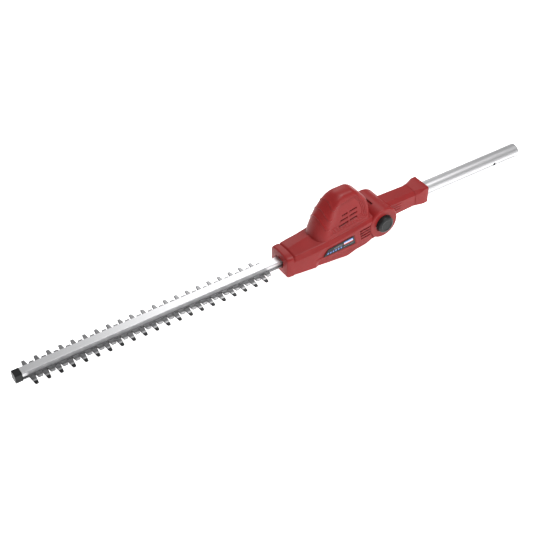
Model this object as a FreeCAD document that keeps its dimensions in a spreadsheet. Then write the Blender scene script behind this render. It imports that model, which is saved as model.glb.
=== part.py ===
import FreeCAD, Part
import math
import os

import Sketcher

# The cutting head of a pole hedge trimmer, in millimetres.
# The origin is the centre of the coupling tube's free end face.
# +X points along the tube away from the blade, +Z is up, and the lock button is on the -Y side.

os.makedirs("parts", exist_ok=True)
doc = FreeCAD.newDocument("PoleHedgeTrimmer")
Vector = FreeCAD.Vector

# ---------------------------------------------------------------- driving dimensions

SIZES = {
    # coupling tube
    "tube_radius": 15, "tube_wall": 1.6, "tube_shown": 241, "tube_held": 59, "tube_turned_down": 0.4,
    "keyway_depth": 0.9, "keyway_width": 3, "detent_radius": 3.2, "detent_from_end": 65,
    "end_slot_length": 11, "end_slot_width": 6,
    # toothed blades and their bar
    "pitch": 22.5, "long_teeth": 21, "short_teeth": 21, "first_tooth": -1072,
    "comb_thickness": 2, "comb_top": -29.05, "comb_half": 10.5, "comb_reach": 31, "comb_rear": -545,
    "blade_thickness": 1.55, "blade_top": -27.45, "blade_half": 10, "blade_reach": 21.5,
    "blade_front": -1078, "blade_rear": -519, "stroke": 16,
    "bar_half": 8, "bar_bottom": -27.4, "bar_top": -17.95, "bar_front": -1091, "bar_rear": -516,
    "screw_pitch": 90, "screw_first": -1049.5, "screw_count": 6,
    "cap_front": -1100.5, "cap_rear": -1087.5, "cap_half": 9.2, "cap_bottom": -35, "cap_top": -16.9,
    # casing
    "casing_front": -576, "frame_rear": -561, "wall": 2.6,
    # tilting joint
    "pivot_x": -360, "pivot_z": -8.5, "barrel_radius": 32.5, "barrel_near": 33.5, "barrel_far": 43,
    "barrel_wall": 3.2, "seat_radius": 33, "arm_near": 5, "arm_far": 20, "axle_radius": 6, "hub_radius": 16,
    "button_radius": 17, "button_proud": 9.5,
    # drive
    "motor_x": -448.2, "crank_x": -477, "module": 0.8, "pinion_teeth": 9, "crank_teeth": 63,
    "gear_top": -16, "gear_bottom": -22, "blade_pin_x": -525, "crank_pin_radius": 4,
    "can_radius": 18, "can_bottom": -9, "can_top": 51,
}

sheet = doc.addObject("Spreadsheet::Sheet", "Sizes")
for row, (alias, number) in enumerate(SIZES.items(), start=1):
    sheet.set(f"A{row}", alias)
    sheet.set(f"B{row}", str(number))
    sheet.setAlias(f"B{row}", alias)
doc.recompute()


class Size:
    """A length that carries both its number and its spreadsheet expression."""

    def __init__(self, value, text):
        self.value = value
        self.text = text

    @staticmethod
    def of(other):
        if isinstance(other, Size):
            return other
        return Size(float(other), f"({float(other)!r})")

    def join(self, other, sign, value):
        return Size(value, f"({self.text} {sign} {other.text})")

    def __add__(self, other):
        other = Size.of(other)
        return self.join(other, "+", self.value + other.value)

    def __sub__(self, other):
        other = Size.of(other)
        return self.join(other, "-", self.value - other.value)

    def __mul__(self, other):
        other = Size.of(other)
        return self.join(other, "*", self.value * other.value)

    def __truediv__(self, other):
        other = Size.of(other)
        return self.join(other, "/", self.value / other.value)

    def __radd__(self, other):
        return Size.of(other) + self

    def __rsub__(self, other):
        return Size.of(other) - self

    def __rmul__(self, other):
        return Size.of(other) * self

    def __neg__(self):
        return Size.of(0) - self

    def __float__(self):
        return self.value


def cell(alias):
    """The sheet's cell of that alias, as a Size."""
    return Size(float(sheet.get(alias)), f"Sizes.{alias}")


def number(alias):
    """The sheet's cell of that alias, as a plain number."""
    return float(sheet.get(alias))


nodes = []


def node(thing, label):
    """Marks a document object as a sub-part, under the name of its file."""
    thing.Label = label
    nodes.append(thing)
    return thing


# ---------------------------------------------------------------- bound primitives

ALONG = {
    "X": FreeCAD.Rotation(Vector(0, 1, 0), 90),
    "Y": FreeCAD.Rotation(Vector(1, 0, 0), -90),
    "Z": FreeCAD.Rotation(),
}


def bind(thing, **links):
    for name, value in links.items():
        thing.setExpression(name.replace("__", "."), Size.of(value).text)


def place(thing, x, y, z, along="Z"):
    thing.Placement = FreeCAD.Placement(Vector(), ALONG[along])
    bind(thing, Placement__Base__x=x, Placement__Base__y=y, Placement__Base__z=z)
    return thing


def cylinder(name, radius, length, x, y, z, along="Z"):
    """A solid rod from (x, y, z) along one axis."""
    thing = doc.addObject("Part::Cylinder", name)
    bind(thing, Radius=radius, Height=length)
    return place(thing, x, y, z, along)


def cut(name, base, *tools):
    for index, tool in enumerate(tools):
        thing = doc.addObject("Part::Cut", f"{name}_{index}")
        thing.Base = base
        thing.Tool = tool
        base = thing
    return base


def ring(name, outer, inner, length, x, y, z, along="Z"):
    rod = cylinder(f"{name}_outside", outer, length, x, y, z, along)
    hole = cylinder(f"{name}_inside", inner, length, x, y, z, along)
    return cut(f"{name}_ring", rod, hole)


# ---------------------------------------------------------------- sketched bodies


def new_body(label):
    return node(doc.addObject("PartDesign::Body", label + "_body"), label)


def new_sketch(body, name, role, offset=0):
    """A sketch on one of the body's own origin planes, moved along that plane's normal."""
    sketch = body.newObject("Sketcher::SketchObject", name)
    plane = next(f for f in body.Origin.OriginFeatures if f.Role == role)
    sketch.AttachmentSupport = [(plane, "")]
    sketch.MapMode = "FlatFace"
    bind(sketch, AttachmentOffset__Base__z=offset)
    return sketch


def pin_point(sketch, geometry, end, axis, value):
    """Fixes one coordinate of a sketch point, on an axis when the coordinate is zero."""
    value = Size.of(value)
    if abs(value.value) < 1e-9:
        line = -2 if axis == "X" else -1
        sketch.addConstraint(Sketcher.Constraint("PointOnObject", geometry, end, line))
        return
    index = sketch.addConstraint(Sketcher.Constraint("Distance" + axis, -1, 1, geometry, end, value.value))
    name = f"place{index}"
    sketch.renameConstraint(index, name)
    sketch.setExpression("Constraints." + name, value.text)


def outline(sketch, points):
    """A closed outline of straight edges through bound points."""
    first = sketch.GeometryCount
    count = len(points)
    corners = [Vector(float(Size.of(u)), float(Size.of(v)), 0) for u, v in points]
    for index in range(count):
        sketch.addGeometry(Part.LineSegment(corners[index], corners[(index + 1) % count]), False)
    for index in range(count):
        after = first + (index + 1) % count
        sketch.addConstraint(Sketcher.Constraint("Coincident", first + index, 2, after, 1))
    for index, (u, v) in enumerate(points):
        pin_point(sketch, first + index, 1, "X", u)
        pin_point(sketch, first + index, 1, "Y", v)


def disc(sketch, u, v, radius):
    """A circle with a bound centre and radius."""
    radius = Size.of(radius)
    centre = Vector(float(Size.of(u)), float(Size.of(v)), 0)
    index = sketch.addGeometry(Part.Circle(centre, Vector(0, 0, 1), radius.value), False)
    pin_point(sketch, index, 3, "X", u)
    pin_point(sketch, index, 3, "Y", v)
    size = sketch.addConstraint(Sketcher.Constraint("Radius", index, radius.value))
    sketch.renameConstraint(size, f"radius{size}")
    sketch.setExpression(f"Constraints.radius{size}", radius.text)


def rectangle(sketch, u0, u1, v0, v1):
    outline(sketch, [(u0, v0), (u1, v0), (u1, v1), (u0, v1)])


def pad(body, sketch, name, length, taper=0, backwards=False):
    feature = body.newObject("PartDesign::Pad", name)
    feature.Profile = sketch
    feature.Reversed = backwards
    feature.TaperAngle = taper
    bind(feature, Length=length)
    return feature


def pocket(body, sketch, name, length, backwards=False):
    """Cuts against the sketch plane's normal, or along it when backwards."""
    feature = body.newObject("PartDesign::Pocket", name)
    feature.Profile = sketch
    feature.Reversed = backwards
    bind(feature, Length=length)
    return feature


def repeat_along_x(body, features, name, step, count):
    pattern = body.newObject("PartDesign::LinearPattern", name)
    pattern.Originals = features
    axis = next(f for f in body.Origin.OriginFeatures if f.Role == "X_Axis")
    pattern.Direction = (axis, [""])
    doc.recompute()
    bind(pattern, Length=Size.of(step) * (Size.of(count) - 1), Occurrences=count)
    body.Tip = pattern
    return pattern


def repeat_around(body, features, name, role, count):
    pattern = body.newObject("PartDesign::PolarPattern", name)
    pattern.Originals = features
    axis = next(f for f in body.Origin.OriginFeatures if f.Role == role)
    pattern.Axis = (axis, [""])
    pattern.Angle = 360
    doc.recompute()
    bind(pattern, Occurrences=count)
    body.Tip = pattern
    return pattern


# ---------------------------------------------------------------- free-form shapes


def shape_node(label, shape, placement=FreeCAD.Placement()):
    """A sub-part whose shape is made by Part's own functions from the sheet's sizes."""
    thing = doc.addObject("Part::Feature", label + "_shape")
    thing.Shape = shape
    thing.Placement = placement
    return node(thing, label)


def group(label, solids):
    return shape_node(label, Part.makeCompound(solids))


def rod(radius, length, x, y, z, direction=(0, 0, 1)):
    return Part.makeCylinder(radius, length, Vector(x, y, z), Vector(*direction))


def block(x_range, y_range, z_range):
    (x0, x1), (y0, y1), (z0, z1) = x_range, y_range, z_range
    return Part.makeBox(x1 - x0, y1 - y0, z1 - z0, Vector(x0, y0, z0))


def polygon(points):
    corners = [Vector(*point) for point in points]
    return Part.makePolygon(corners + corners[:1])


def prism(points, direction):
    return Part.Face(polygon(points)).extrude(Vector(*direction))


def mirrored(shape):
    """The same shape on the other side of the centre plane."""
    return shape.mirror(Vector(0, 0, 0), Vector(0, 1, 0))


# ================================================================ pole end

tube_radius = cell("tube_radius")
tube_bore = tube_radius - cell("tube_wall")
tube_length = cell("tube_shown") + cell("tube_held")
tube_rear = -tube_length
held_radius = number("tube_radius") - number("tube_turned_down")


def make_coupling_tube():
    body = new_body("coupling_tube")
    shown = new_sketch(body, "shown_profile", "YZ_Plane", -cell("tube_shown"))
    disc(shown, 0, 0, tube_radius)
    disc(shown, 0, 0, tube_bore)
    pad(body, shown, "shown_wall", cell("tube_shown"))

    held = new_sketch(body, "held_profile", "YZ_Plane", tube_rear)
    disc(held, 0, 0, tube_radius - cell("tube_turned_down"))
    disc(held, 0, 0, tube_bore)
    pad(body, held, "held_wall", cell("tube_held"))

    keyway = new_sketch(body, "keyway_profile", "YZ_Plane")
    half = cell("keyway_width") / 2
    rectangle(keyway, -tube_radius - 1, -tube_radius + cell("keyway_depth"), -half, half)
    pocket(body, keyway, "keyway", tube_length)

    hole = new_sketch(body, "detent_profile", "XZ_Plane", tube_radius + 1)
    disc(hole, -cell("detent_from_end"), 0, cell("detent_radius"))
    pocket(body, hole, "detent_hole", 6)

    slot = new_sketch(body, "end_slot_profile", "XZ_Plane", tube_radius + 1)
    half = cell("end_slot_width") / 2
    rectangle(slot, -cell("end_slot_length"), 1, -half, half)
    pocket(body, slot, "end_slot", 6)

    key = new_sketch(body, "key_hole_profile", "XY_Plane", -tube_radius - 1)
    disc(key, -287, 0, 2.5)
    pocket(body, key, "key_hole", 2 * (tube_radius + 1), backwards=True)


def make_tube_end():
    """The plug block inside the tube's free end, its three contact pins and the lead behind it."""
    bore = number("tube_radius") - number("tube_wall")
    plug = rod(bore - 0.05, 18, -40, 0, 0, (1, 0, 0))
    plug = plug.fuse(rod(8.4, 17, -22, 0, 0, (1, 0, 0)))
    for angle in (90, 210, 330):
        y = 5 * math.cos(math.radians(angle))
        z = 5 * math.sin(math.radians(angle))
        plug = plug.cut(rod(1.5, 36, -40, y, z, (1, 0, 0)))
    shape_node("end_connector", plug)
    pins = []
    for angle in (90, 210, 330):
        y = 5 * math.cos(math.radians(angle))
        z = 5 * math.sin(math.radians(angle))
        pins.append(rod(1.45, 33, -40, y, z, (1, 0, 0)))
    group("connector_contacts", pins)
    node(cylinder("lead", 3, 290 - 40.3, -290, 0, 0, "X"), "pole_lead")


# ================================================================ neck

NECK_STATIONS = [(-347, 20, 19, -20.5), (-305, 19.6, 18.3, -19), (-266, 19.2, 17.6, -17.8)]
# angles, seen from the -Y side, over which the barrel is open for the arm
SLOT_FROM, SLOT_TO = 103, 300

def neck_section(x, half, top, bottom, shrink=0):
    """Half of the neck's eight-sided outline at x, closed along the centre plane."""
    y = half - shrink
    upper = top - shrink
    lower = bottom + shrink
    return polygon([
        (x, 0, upper), (x, -(y - 7), upper), (x, -y, upper - 6),
        (x, -y, lower + 6), (x, -(y - 7), lower), (x, 0, lower),
    ])


def barrel_slot():
    """The opening in the barrel's front and underside that the arm swings in."""
    px, pz = number("pivot_x"), number("pivot_z")
    angles = [SLOT_FROM + (SLOT_TO - SLOT_FROM) * index / 6 for index in range(7)]
    reach = 2 * number("barrel_radius")
    near = -number("arm_near") - 0.6
    points = [
        (px + reach * math.cos(math.radians(a)), near, pz + reach * math.sin(math.radians(a))) for a in angles
    ]
    return prism([(px, near, pz)] + points, (0, number("arm_near") + number("arm_far") + 1.2, 0))


def make_neck():
    """The two neck shells, each with its half of the joint barrel, and the screws that join them."""
    px, pz = number("pivot_x"), number("pivot_z")
    near, far = number("barrel_near"), number("barrel_far")
    radius, wall = number("barrel_radius"), number("barrel_wall")
    neck_outside = Part.makeLoft([neck_section(*s) for s in NECK_STATIONS], True, True)
    inner = [(-322,) + NECK_STATIONS[0][1:], NECK_STATIONS[1]]
    neck_hollow = Part.makeLoft([neck_section(*s, shrink=3.2) for s in inner], True, True)
    tube_room = rod(held_radius, 80, -301, 0, 0, (1, 0, 0))
    key_hole = rod(2.5, 33.2, -287, 0, -16.6, (0, 0, 1))

    left_barrel = mirrored(rod(radius, near, px, 0, pz, (0, 1, 0)))
    rim = [e for e in left_barrel.Edges if e.isClosed() and abs(e.BoundBox.YMin + near) < 0.01]
    left = left_barrel.makeFillet(4, rim).fuse(neck_outside)
    left = left.cut(rod(radius - wall, 24.5, px, -24.5, pz, (0, 1, 0))).cut(neck_hollow)
    left = left.cut(rod(18.2, 5.3, px, -near, pz, (0, 1, 0)))
    left = left.cut(rod(number("hub_radius"), 10, px, -30, pz, (0, 1, 0)))

    right_barrel = rod(radius, far, px, 0, pz, (0, 1, 0))
    rim = [e for e in right_barrel.Edges if e.isClosed() and abs(e.BoundBox.YMin - far) < 0.01]
    right = right_barrel.makeFillet(4, rim).fuse(mirrored(neck_outside))
    right = right.cut(rod(radius - wall, far - 3.5, px, 0, pz, (0, 1, 0))).cut(mirrored(neck_hollow))
    right = right.fuse(rod(10, far - 24, px, 22, pz, (0, 1, 0)))
    right = right.cut(rod(number("axle_radius"), far - 3, px, 0, pz, (0, 1, 0)))

    screws = []
    for x, z in ((-315, 8.5), (-315, -8.5)):
        boss = rod(3.6, 18, x, -18, z, (0, 1, 0))
        hole = rod(1.6, 34, x, -14, z, (0, 1, 0)).fuse(rod(3.2, 8, x, 17, z, (0, 1, 0)))
        left = left.fuse(boss).cut(hole)
        right = right.fuse(mirrored(boss)).cut(hole)
        screws.append(rod(1.6, 30, x, -13, z, (0, 1, 0)).fuse(rod(3, 1.8, x, 17, z, (0, 1, 0))))
    shells = [shell.cut(barrel_slot()).cut(key_hole).cut(tube_room) for shell in (left, right)]
    shape_node("neck_shell_left", shells[0])
    shape_node("neck_shell_right", shells[1])
    group("neck_screws", screws)
    shape_node("barrel_cap", rod(13, 1.2, px, far, pz, (0, 1, 0)))


def make_neck_collar():
    """The flared eight-sided ring that clamps the two neck shells round the tube."""

    def outline_at(x, side, top, bottom, slope):
        return polygon([
            (x, -side, top - slope), (x, -(side - slope), top), (x, side - slope, top), (x, side, top - slope),
            (x, side, bottom + slope), (x, side - slope, bottom), (x, -(side - slope), bottom),
            (x, -side, bottom + slope),
        ])

    sections = [
        outline_at(-273, 20.2, 18.6, -18.8, 7), outline_at(-256, 22, 22, -22.5, 10),
        outline_at(-243, 21.5, 22, -22, 10),
    ]
    collar = Part.makeLoft(sections, True, True)
    seat = [neck_section(*s) for s in NECK_STATIONS[1:]]
    seat = Part.makeLoft(seat, True, True)
    collar = collar.cut(seat.fuse(mirrored(seat)))
    collar = collar.cut(rod(held_radius, 60, -300, 0, 0, (1, 0, 0)))
    shape_node("neck_collar", collar)


def make_tube_key():
    """The two pins above and below that stop the tube from turning or sliding in the neck."""
    group("tube_key_pins", [rod(2.4, 12.2, -287, 0, z) for z in (-16.4, 4.2)])


# ================================================================ tilting joint

pivot_x = cell("pivot_x")
pivot_z = cell("pivot_z")


def toothed_ring(label, front, length, outer, inner, tooth_from, tooth_to):
    """A ring about the pivot axis with 24 straight teeth; front is how far its near face is from the centre."""
    body = new_body(label)
    bind(body, Placement__Base__x=pivot_x, Placement__Base__z=pivot_z)
    profile = new_sketch(body, label + "_profile", "XZ_Plane", front)
    disc(profile, 0, 0, outer)
    disc(profile, 0, 0, inner)
    pad(body, profile, label + "_rim", length, backwards=True)
    tooth = new_sketch(body, label + "_tooth_profile", "XZ_Plane", front)
    rectangle(tooth, tooth_from, tooth_to, -0.7, 0.7)
    feature = pad(body, tooth, label + "_tooth", length, backwards=True)
    repeat_around(body, [feature], label + "_teeth", "Y_Axis", 24)


def make_pivot_metal():
    """The hub sleeve in the barrel's near end, the axle from its far end, and the two toothed rings."""
    node(ring("hub", cell("hub_radius"), 13.2, 17.8, pivot_x, -28.2, pivot_z, "Y"), "pivot_hub")
    node(ring("axle", cell("axle_radius"), 4, cell("barrel_far") - 3 + 25.5, pivot_x, -25.5, pivot_z, "Y"),
         "pivot_axle")
    toothed_ring("lock_ring", 24, 17.2, 12, 9, 11.6, 12.8)
    toothed_ring("detent_ring", 9.8, 4.8, 18.1, 14.4, 13.2, 14.8)


def make_head_arm():
    """The arm that carries the head: a drum that fills the barrel and a tail held in the casing's rear wall."""
    px, pz = number("pivot_x"), number("pivot_z")
    near, far = -number("arm_near"), number("arm_far")
    arm = rod(28.9, far - near, px, near, pz, (0, 1, 0))
    arm = arm.fuse(block((-405, px), (near, far), (pz - 19, pz + 17)))
    arm = arm.cut(rod(number("axle_radius") + 0.05, far - near, px, near, pz, (0, 1, 0)))
    arm = arm.cut(rod(13.6, 7, px, near, pz, (0, 1, 0)))
    shape_node("head_arm", arm)


def make_lock_button():
    """The round push button: a shallow domed cap with a raised rim line, and the hollow stem behind it."""
    px, pz = number("pivot_x"), number("pivot_z")
    face = -(number("barrel_near") + number("button_proud"))
    radius = number("button_radius")
    profile = [
        (0, face + 0.4), (10.5, face + 0.4), (11.5, face), (radius - 2.2, face + 0.4), (radius, face + 2.4),
        (radius, -32.8), (8.95, -32.8), (8.95, -14), (6.3, -14), (6.3, -30), (0, -30),
    ]
    outline_wire = polygon([(px + r, y, pz) for r, y in profile])
    solid = Part.Face(outline_wire).revolve(Vector(px, 0, pz), Vector(0, 1, 0), 360)
    shape_node("lock_button", solid)


def make_lock_spring():
    """A coil spring between the lock ring and the bottom of the arm's pocket, joined from quarter turns."""
    px, pz = number("pivot_x"), number("pivot_z")
    radius, wire, length, turns = 10.6, 0.6, 7.3, 3
    quarters = 4 * turns
    quarter = Part.makeHelix(length / turns, length / quarters, radius)
    edges = []
    for index in range(quarters):
        piece = quarter.copy()
        piece.rotate(Vector(), Vector(0, 0, 1), 90 * index)
        piece.translate(Vector(0, 0, index * length / quarters))
        edges += piece.Edges
    coil = Part.Wire(edges)
    coil.rotate(Vector(), Vector(1, 0, 0), -90)
    coil.translate(Vector(px, -6, pz))
    first = coil.OrderedEdges[0]
    start = first.valueAt(first.FirstParameter)
    tangent = first.tangentAt(first.FirstParameter)
    circle = Part.Wire(Part.makeCircle(wire, start, tangent))
    shape_node("lock_spring", coil.makePipeShell([circle], True, True))


# ================================================================ casing

# x, half width and height of the top edge, half width and height of the side's top, underside, top at the centre
CASING_STATIONS = [
    (-561, 24.2, -5.2, 28.2, -15.2, -46.6, -2.6),
    (-524, 26.6, -2.2, 31.5, -11.6, -47.8, 4.2),
    (-503, 28.2, 0.0, 33.2, -8.6, -49.0, 7.6),
    (-484, 29.3, 2.4, 34.4, -5.8, -50.2, 9.5),
    (-440, 29.5, 7.8, 34.5, 0.4, -54.2, 12.5),
    (-421, 29.5, 10.2, 34.5, 3.4, -48.2, 14.5),
    (-398, 29.1, 13.2, 34.0, 6.8, -45.6, 16.5),
    (-378, 27.0, 13.0, 33.0, 6.0, -38.0, 15.5),
]

# height, front, rear, half width and corner radius of the hood's outline
HOOD_STATIONS = [
    (2, -510.5, -386, 28.6, 15), (20, -505.5, -387.5, 27.4, 16), (40, -497, -390, 25.0, 17),
    (55, -488, -396, 22.8, 17), (66, -478.5, -404, 20.6, 16), (75, -468.5, -412, 18.0, 14),
    (81, -460, -419, 13.5, 11), (84, -451, -426, 7.0, 6),
]


def casing_section(x, edge, edge_z, side, side_z, bottom, top, shrink=0):
    """Half of the casing's outline at x on the -Y side, closed along the centre plane."""
    slim = 0.6 * shrink
    foot = 1.8 - slim
    return polygon([
        (x, 0, top - shrink), (x, -(edge - slim), edge_z - shrink), (x, -(side - shrink), side_z - slim),
        (x, -(side - shrink), bottom + shrink + foot), (x, -(side - shrink - foot), bottom + shrink),
        (x, 0, bottom + shrink),
    ])


def hood_section(z, front, rear, half, corner, shrink=0):
    """The hood's outline at one height: a rounded rectangle with arcs at its four corners."""
    x0, x1, y1 = front + shrink, rear - shrink, half - shrink
    r = max(corner - shrink, 1.0)
    slant = r * (1 - math.sqrt(0.5))
    edges = [
        Part.LineSegment(Vector(x0 + r, -y1, z), Vector(x1 - r, -y1, z)),
        Part.Arc(Vector(x1 - r, -y1, z), Vector(x1 - slant, -y1 + slant, z), Vector(x1, -y1 + r, z)),
        Part.LineSegment(Vector(x1, -y1 + r, z), Vector(x1, y1 - r, z)),
        Part.Arc(Vector(x1, y1 - r, z), Vector(x1 - slant, y1 - slant, z), Vector(x1 - r, y1, z)),
        Part.LineSegment(Vector(x1 - r, y1, z), Vector(x0 + r, y1, z)),
        Part.Arc(Vector(x0 + r, y1, z), Vector(x0 + slant, y1 - slant, z), Vector(x0, y1 - r, z)),
        Part.LineSegment(Vector(x0, y1 - r, z), Vector(x0, -y1 + r, z)),
        Part.Arc(Vector(x0, -y1 + r, z), Vector(x0 + slant, -y1 + slant, z), Vector(x0 + r, -y1, z)),
    ]
    return Part.Wire([edge.toShape() for edge in edges])


LABEL_CORNERS = [(-499.5, -27.8), (-489.5, -14), (-431.5, -7.2), (-427, -26)]
CASING_SCREWS = [(-552, -37.5), (-552, -9), (-410, -34), (-412, -1)]


def side_slots():
    """Five slanted cooling slots low on each side, ahead of the joint barrel."""
    slots = []
    for index in range(5):
        x0 = -417 + 1.2 * index
        z0 = -10.2 - 4.2 * index
        corners = [(x0, -40, z0), (x0 + 22, -40, z0 + 5), (x0 + 22, -40, z0 + 7.2), (x0, -40, z0 + 2.2)]
        slots.append(prism(corners, (0, 80, 0)))
    return slots


def hood_slots():
    """Three rows of two cooling slots on each side of the hood."""
    slots = []
    for index in range(3):
        z0 = 38 - 9.3 * index
        for x0, x1 in ((-451 - 4 * index, -439.5), (-434.5, -418.5)):
            rise = 0.16
            low = z0 + rise * (x0 + 451)
            high = z0 + rise * (x1 + 451)
            slots.append(prism([(x0, -40, low), (x1, -40, high), (x1, -40, high + 2.2), (x0, -40, low + 2.2)],
                               (0, 80, 0)))
    return slots


def make_casing():
    px, pz = number("pivot_x"), number("pivot_z")
    wall = number("wall")
    outside = Part.makeLoft([casing_section(*s) for s in CASING_STATIONS], True, True)
    inside_stations = [(-558.4,) + CASING_STATIONS[0][1:]] + CASING_STATIONS[1:5] + [
        (-420,) + CASING_STATIONS[5][1:], (-396,) + CASING_STATIONS[6][1:]]
    inside = Part.makeLoft([casing_section(*s, shrink=wall) for s in inside_stations], True, True)
    barrel_room = rod(number("seat_radius"), 90, px, -45, pz, (0, 1, 0))
    behind_seat = rod(number("seat_radius") + wall, 90, px, -45, pz, (0, 1, 0))
    inside = inside.cut(behind_seat)

    hood_outer = Part.makeLoft([hood_section(*s) for s in HOOD_STATIONS], True, True)
    hood_inner = Part.makeLoft([hood_section(*s, shrink=wall) for s in HOOD_STATIONS], True, True)
    well_outline = hood_section(-12, *HOOD_STATIONS[0][1:], shrink=wall + 3.5)
    hood_well = Part.Face(well_outline).extrude(Vector(0, 0, 36))
    hood_well = hood_well.cut(behind_seat)

    whole = outside.fuse(mirrored(outside))
    hood = hood_outer.cut(hood_inner).cut(whole)
    for slot in hood_slots():
        hood = hood.cut(slot)
    hood = hood.cut(barrel_room)
    seats = [(-501, 12), (-401, 17)]
    for x, z in seats:
        hood = hood.fuse(rod(3.6, 12, x, 0, z, (0, 0, 1)).cut(whole))
        hood = hood.cut(rod(1.5, 16, x, 0, z - 6, (0, 0, 1)))
    biggest = max(hood.Solids, key=lambda solid: solid.Volume)
    shape_node("motor_hood", biggest)

    arm_room = block((-405, px), (-number("arm_near"), number("arm_far")), (pz - 19, pz + 17))
    halves = []
    for side in (-1, 1):
        part_out = outside if side < 0 else mirrored(outside)
        part_in = inside if side < 0 else mirrored(inside)
        half = part_out.cut(part_in).cut(hood_well).cut(barrel_room).cut(arm_room)
        halves.append(half)
    front = number("frame_rear")
    window = block((front - 1, front + 4), (-11.5, 11.5), (-33, number("bar_top") + 0.02))
    left, right = [half.cut(window) for half in halves]

    label_room = prism([(x, -36, z) for x, z in LABEL_CORNERS], (0, 2.5, 0))
    left = left.cut(label_room)
    for slot in side_slots():
        left = left.cut(slot)
        right = right.cut(slot)
    screws = []
    for x, z in CASING_SCREWS:
        boss = rod(4, 27, x, -27, z, (0, 1, 0))
        hole = rod(2, 60, x, -22, z, (0, 1, 0)).fuse(rod(3.7, 20, x, 23, z, (0, 1, 0)))
        left = left.fuse(boss).cut(hole)
        right = right.fuse(mirrored(boss)).cut(hole)
        screws.append(rod(2, 44, x, -21, z, (0, 1, 0)).fuse(rod(3.5, 2.5, x, 23, z, (0, 1, 0))))
    hood_screws = []
    for x, z in seats:
        left = left.cut(rod(1.6, 40, x, 0, z - 30, (0, 0, 1)))
        right = right.cut(rod(1.6, 40, x, 0, z - 30, (0, 0, 1)))
        hood_screws.append(rod(1.5, 15, x, 0, z - 6.5, (0, 0, 1)).fuse(rod(2.8, 1.6, x, 0, z - 8, (0, 0, 1))))
    shape_node("casing_left", max(left.Solids, key=lambda solid: solid.Volume))
    shape_node("casing_right", max(right.Solids, key=lambda solid: solid.Volume))
    group("casing_screws", screws)
    group("hood_screws", hood_screws)
    plate = prism([(x, -34.5, z) for x, z in LABEL_CORNERS], (0, 1.0, 0))
    shape_node("label_plate", plate)


def make_front_frame():
    """The thick arch round the casing's front, with the window for the blade bar."""
    x0, x1 = number("casing_front"), number("frame_rear")
    half, bottom, shoulder, crown = 26.5, -46.4, -14, -2.4
    points = [Vector(x0, -half, bottom), Vector(x0, -half, shoulder), Vector(x0, -22, -7), Vector(x0, 0, crown)]
    right = [Vector(p.x, -p.y, p.z) for p in points]
    edges = [
        Part.LineSegment(right[0], points[0]),
        Part.LineSegment(points[0], points[1]),
        Part.Arc(points[1], Vector(x0, -24.6, -9.4), points[2]),
        Part.Arc(points[2], points[3], right[2]),
        Part.Arc(right[2], Vector(x0, 24.6, -9.4), right[1]),
        Part.LineSegment(right[1], right[0]),
    ]
    face = Part.Face(Part.Wire([edge.toShape() for edge in edges]))
    arch = face.extrude(Vector(x1 - x0, 0, 0))
    window = block((x0 - 1, x1 + 1), (-11.5, 11.5), (-33, number("bar_top") + 0.02))
    shape_node("front_frame", arch.cut(window))
    seal = block((x0 + 3, x0 + 8), (-11.5, 11.5), (-33, -31.4))
    shape_node("dust_seal", seal)


# ================================================================ blades and bar


def screw_positions():
    first, step = number("screw_first"), number("screw_pitch")
    return [first + step * index for index in range(int(number("screw_count")))]


def make_blade_bar():
    body = new_body("blade_bar")
    half, low, high = cell("bar_half"), cell("bar_bottom"), cell("bar_top")
    profile = new_sketch(body, "bar_profile", "YZ_Plane", cell("bar_front"))
    right = [
        (half, low), (half, low + 4.6), (half - 0.9, low + 4.9), (half - 0.9, low + 5.7), (half, low + 6),
        (half, high - 0.9), (half - 0.9, high),
    ]
    left = [(-u, v) for u, v in reversed(right)]
    outline(profile, right + left)
    pad(body, profile, "bar_extrusion", cell("bar_rear") - cell("bar_front"))
    holes = new_sketch(body, "bar_hole_profile", "XY_Plane", low)
    disc(holes, cell("screw_first"), 0, 2)
    tapped = pocket(body, holes, "bar_hole", 6, backwards=True)
    repeat_along_x(body, [tapped], "bar_holes", cell("screw_pitch"), cell("screw_count"))
    anchors = new_sketch(body, "bar_anchor_profile", "XY_Plane", high)
    disc(anchors, -533, 0, 1.6)
    disc(anchors, -522, 0, 1.6)
    pocket(body, anchors, "bar_anchor_holes", 5)


def tooth_outline(sketch, x, root_y, root_half, reach, tip_half, tip_cut):
    """One tooth on each side of the centre line, with its tip corners cut off."""
    for side in (-1, 1):
        outline(sketch, [
            (x - root_half, side * root_y), (x - tip_half, side * (reach - tip_cut)),
            (x - tip_half + tip_cut, side * reach), (x + tip_half - tip_cut, side * reach),
            (x + tip_half, side * (reach - tip_cut)), (x + root_half, side * root_y),
        ])


def make_comb_blade():
    """The fixed lower blade with the long blunt teeth."""
    body = new_body("comb_blade")
    thickness, top = cell("comb_thickness"), cell("comb_top")
    low = top - thickness
    spine = new_sketch(body, "comb_spine", "XY_Plane", low)
    rectangle(spine, cell("cap_rear") + 0.2, cell("comb_rear"), -cell("comb_half"), cell("comb_half"))
    pad(body, spine, "comb_plate", thickness)
    tooth = new_sketch(body, "comb_tooth_profile", "XY_Plane", low)
    tooth_outline(tooth, cell("first_tooth"), cell("comb_half") - 0.5, 5.6, cell("comb_reach"), 2.6, 1.6)
    teeth = pad(body, tooth, "comb_tooth", thickness)
    repeat_along_x(body, [teeth], "comb_teeth", cell("pitch"), cell("long_teeth"))
    hole = new_sketch(body, "comb_hole_profile", "XY_Plane", low)
    disc(hole, cell("screw_first"), 0, 2.1)
    drilled = pocket(body, hole, "comb_hole", thickness, backwards=True)
    repeat_along_x(body, [drilled], "comb_holes", cell("screw_pitch"), cell("screw_count"))


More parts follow.
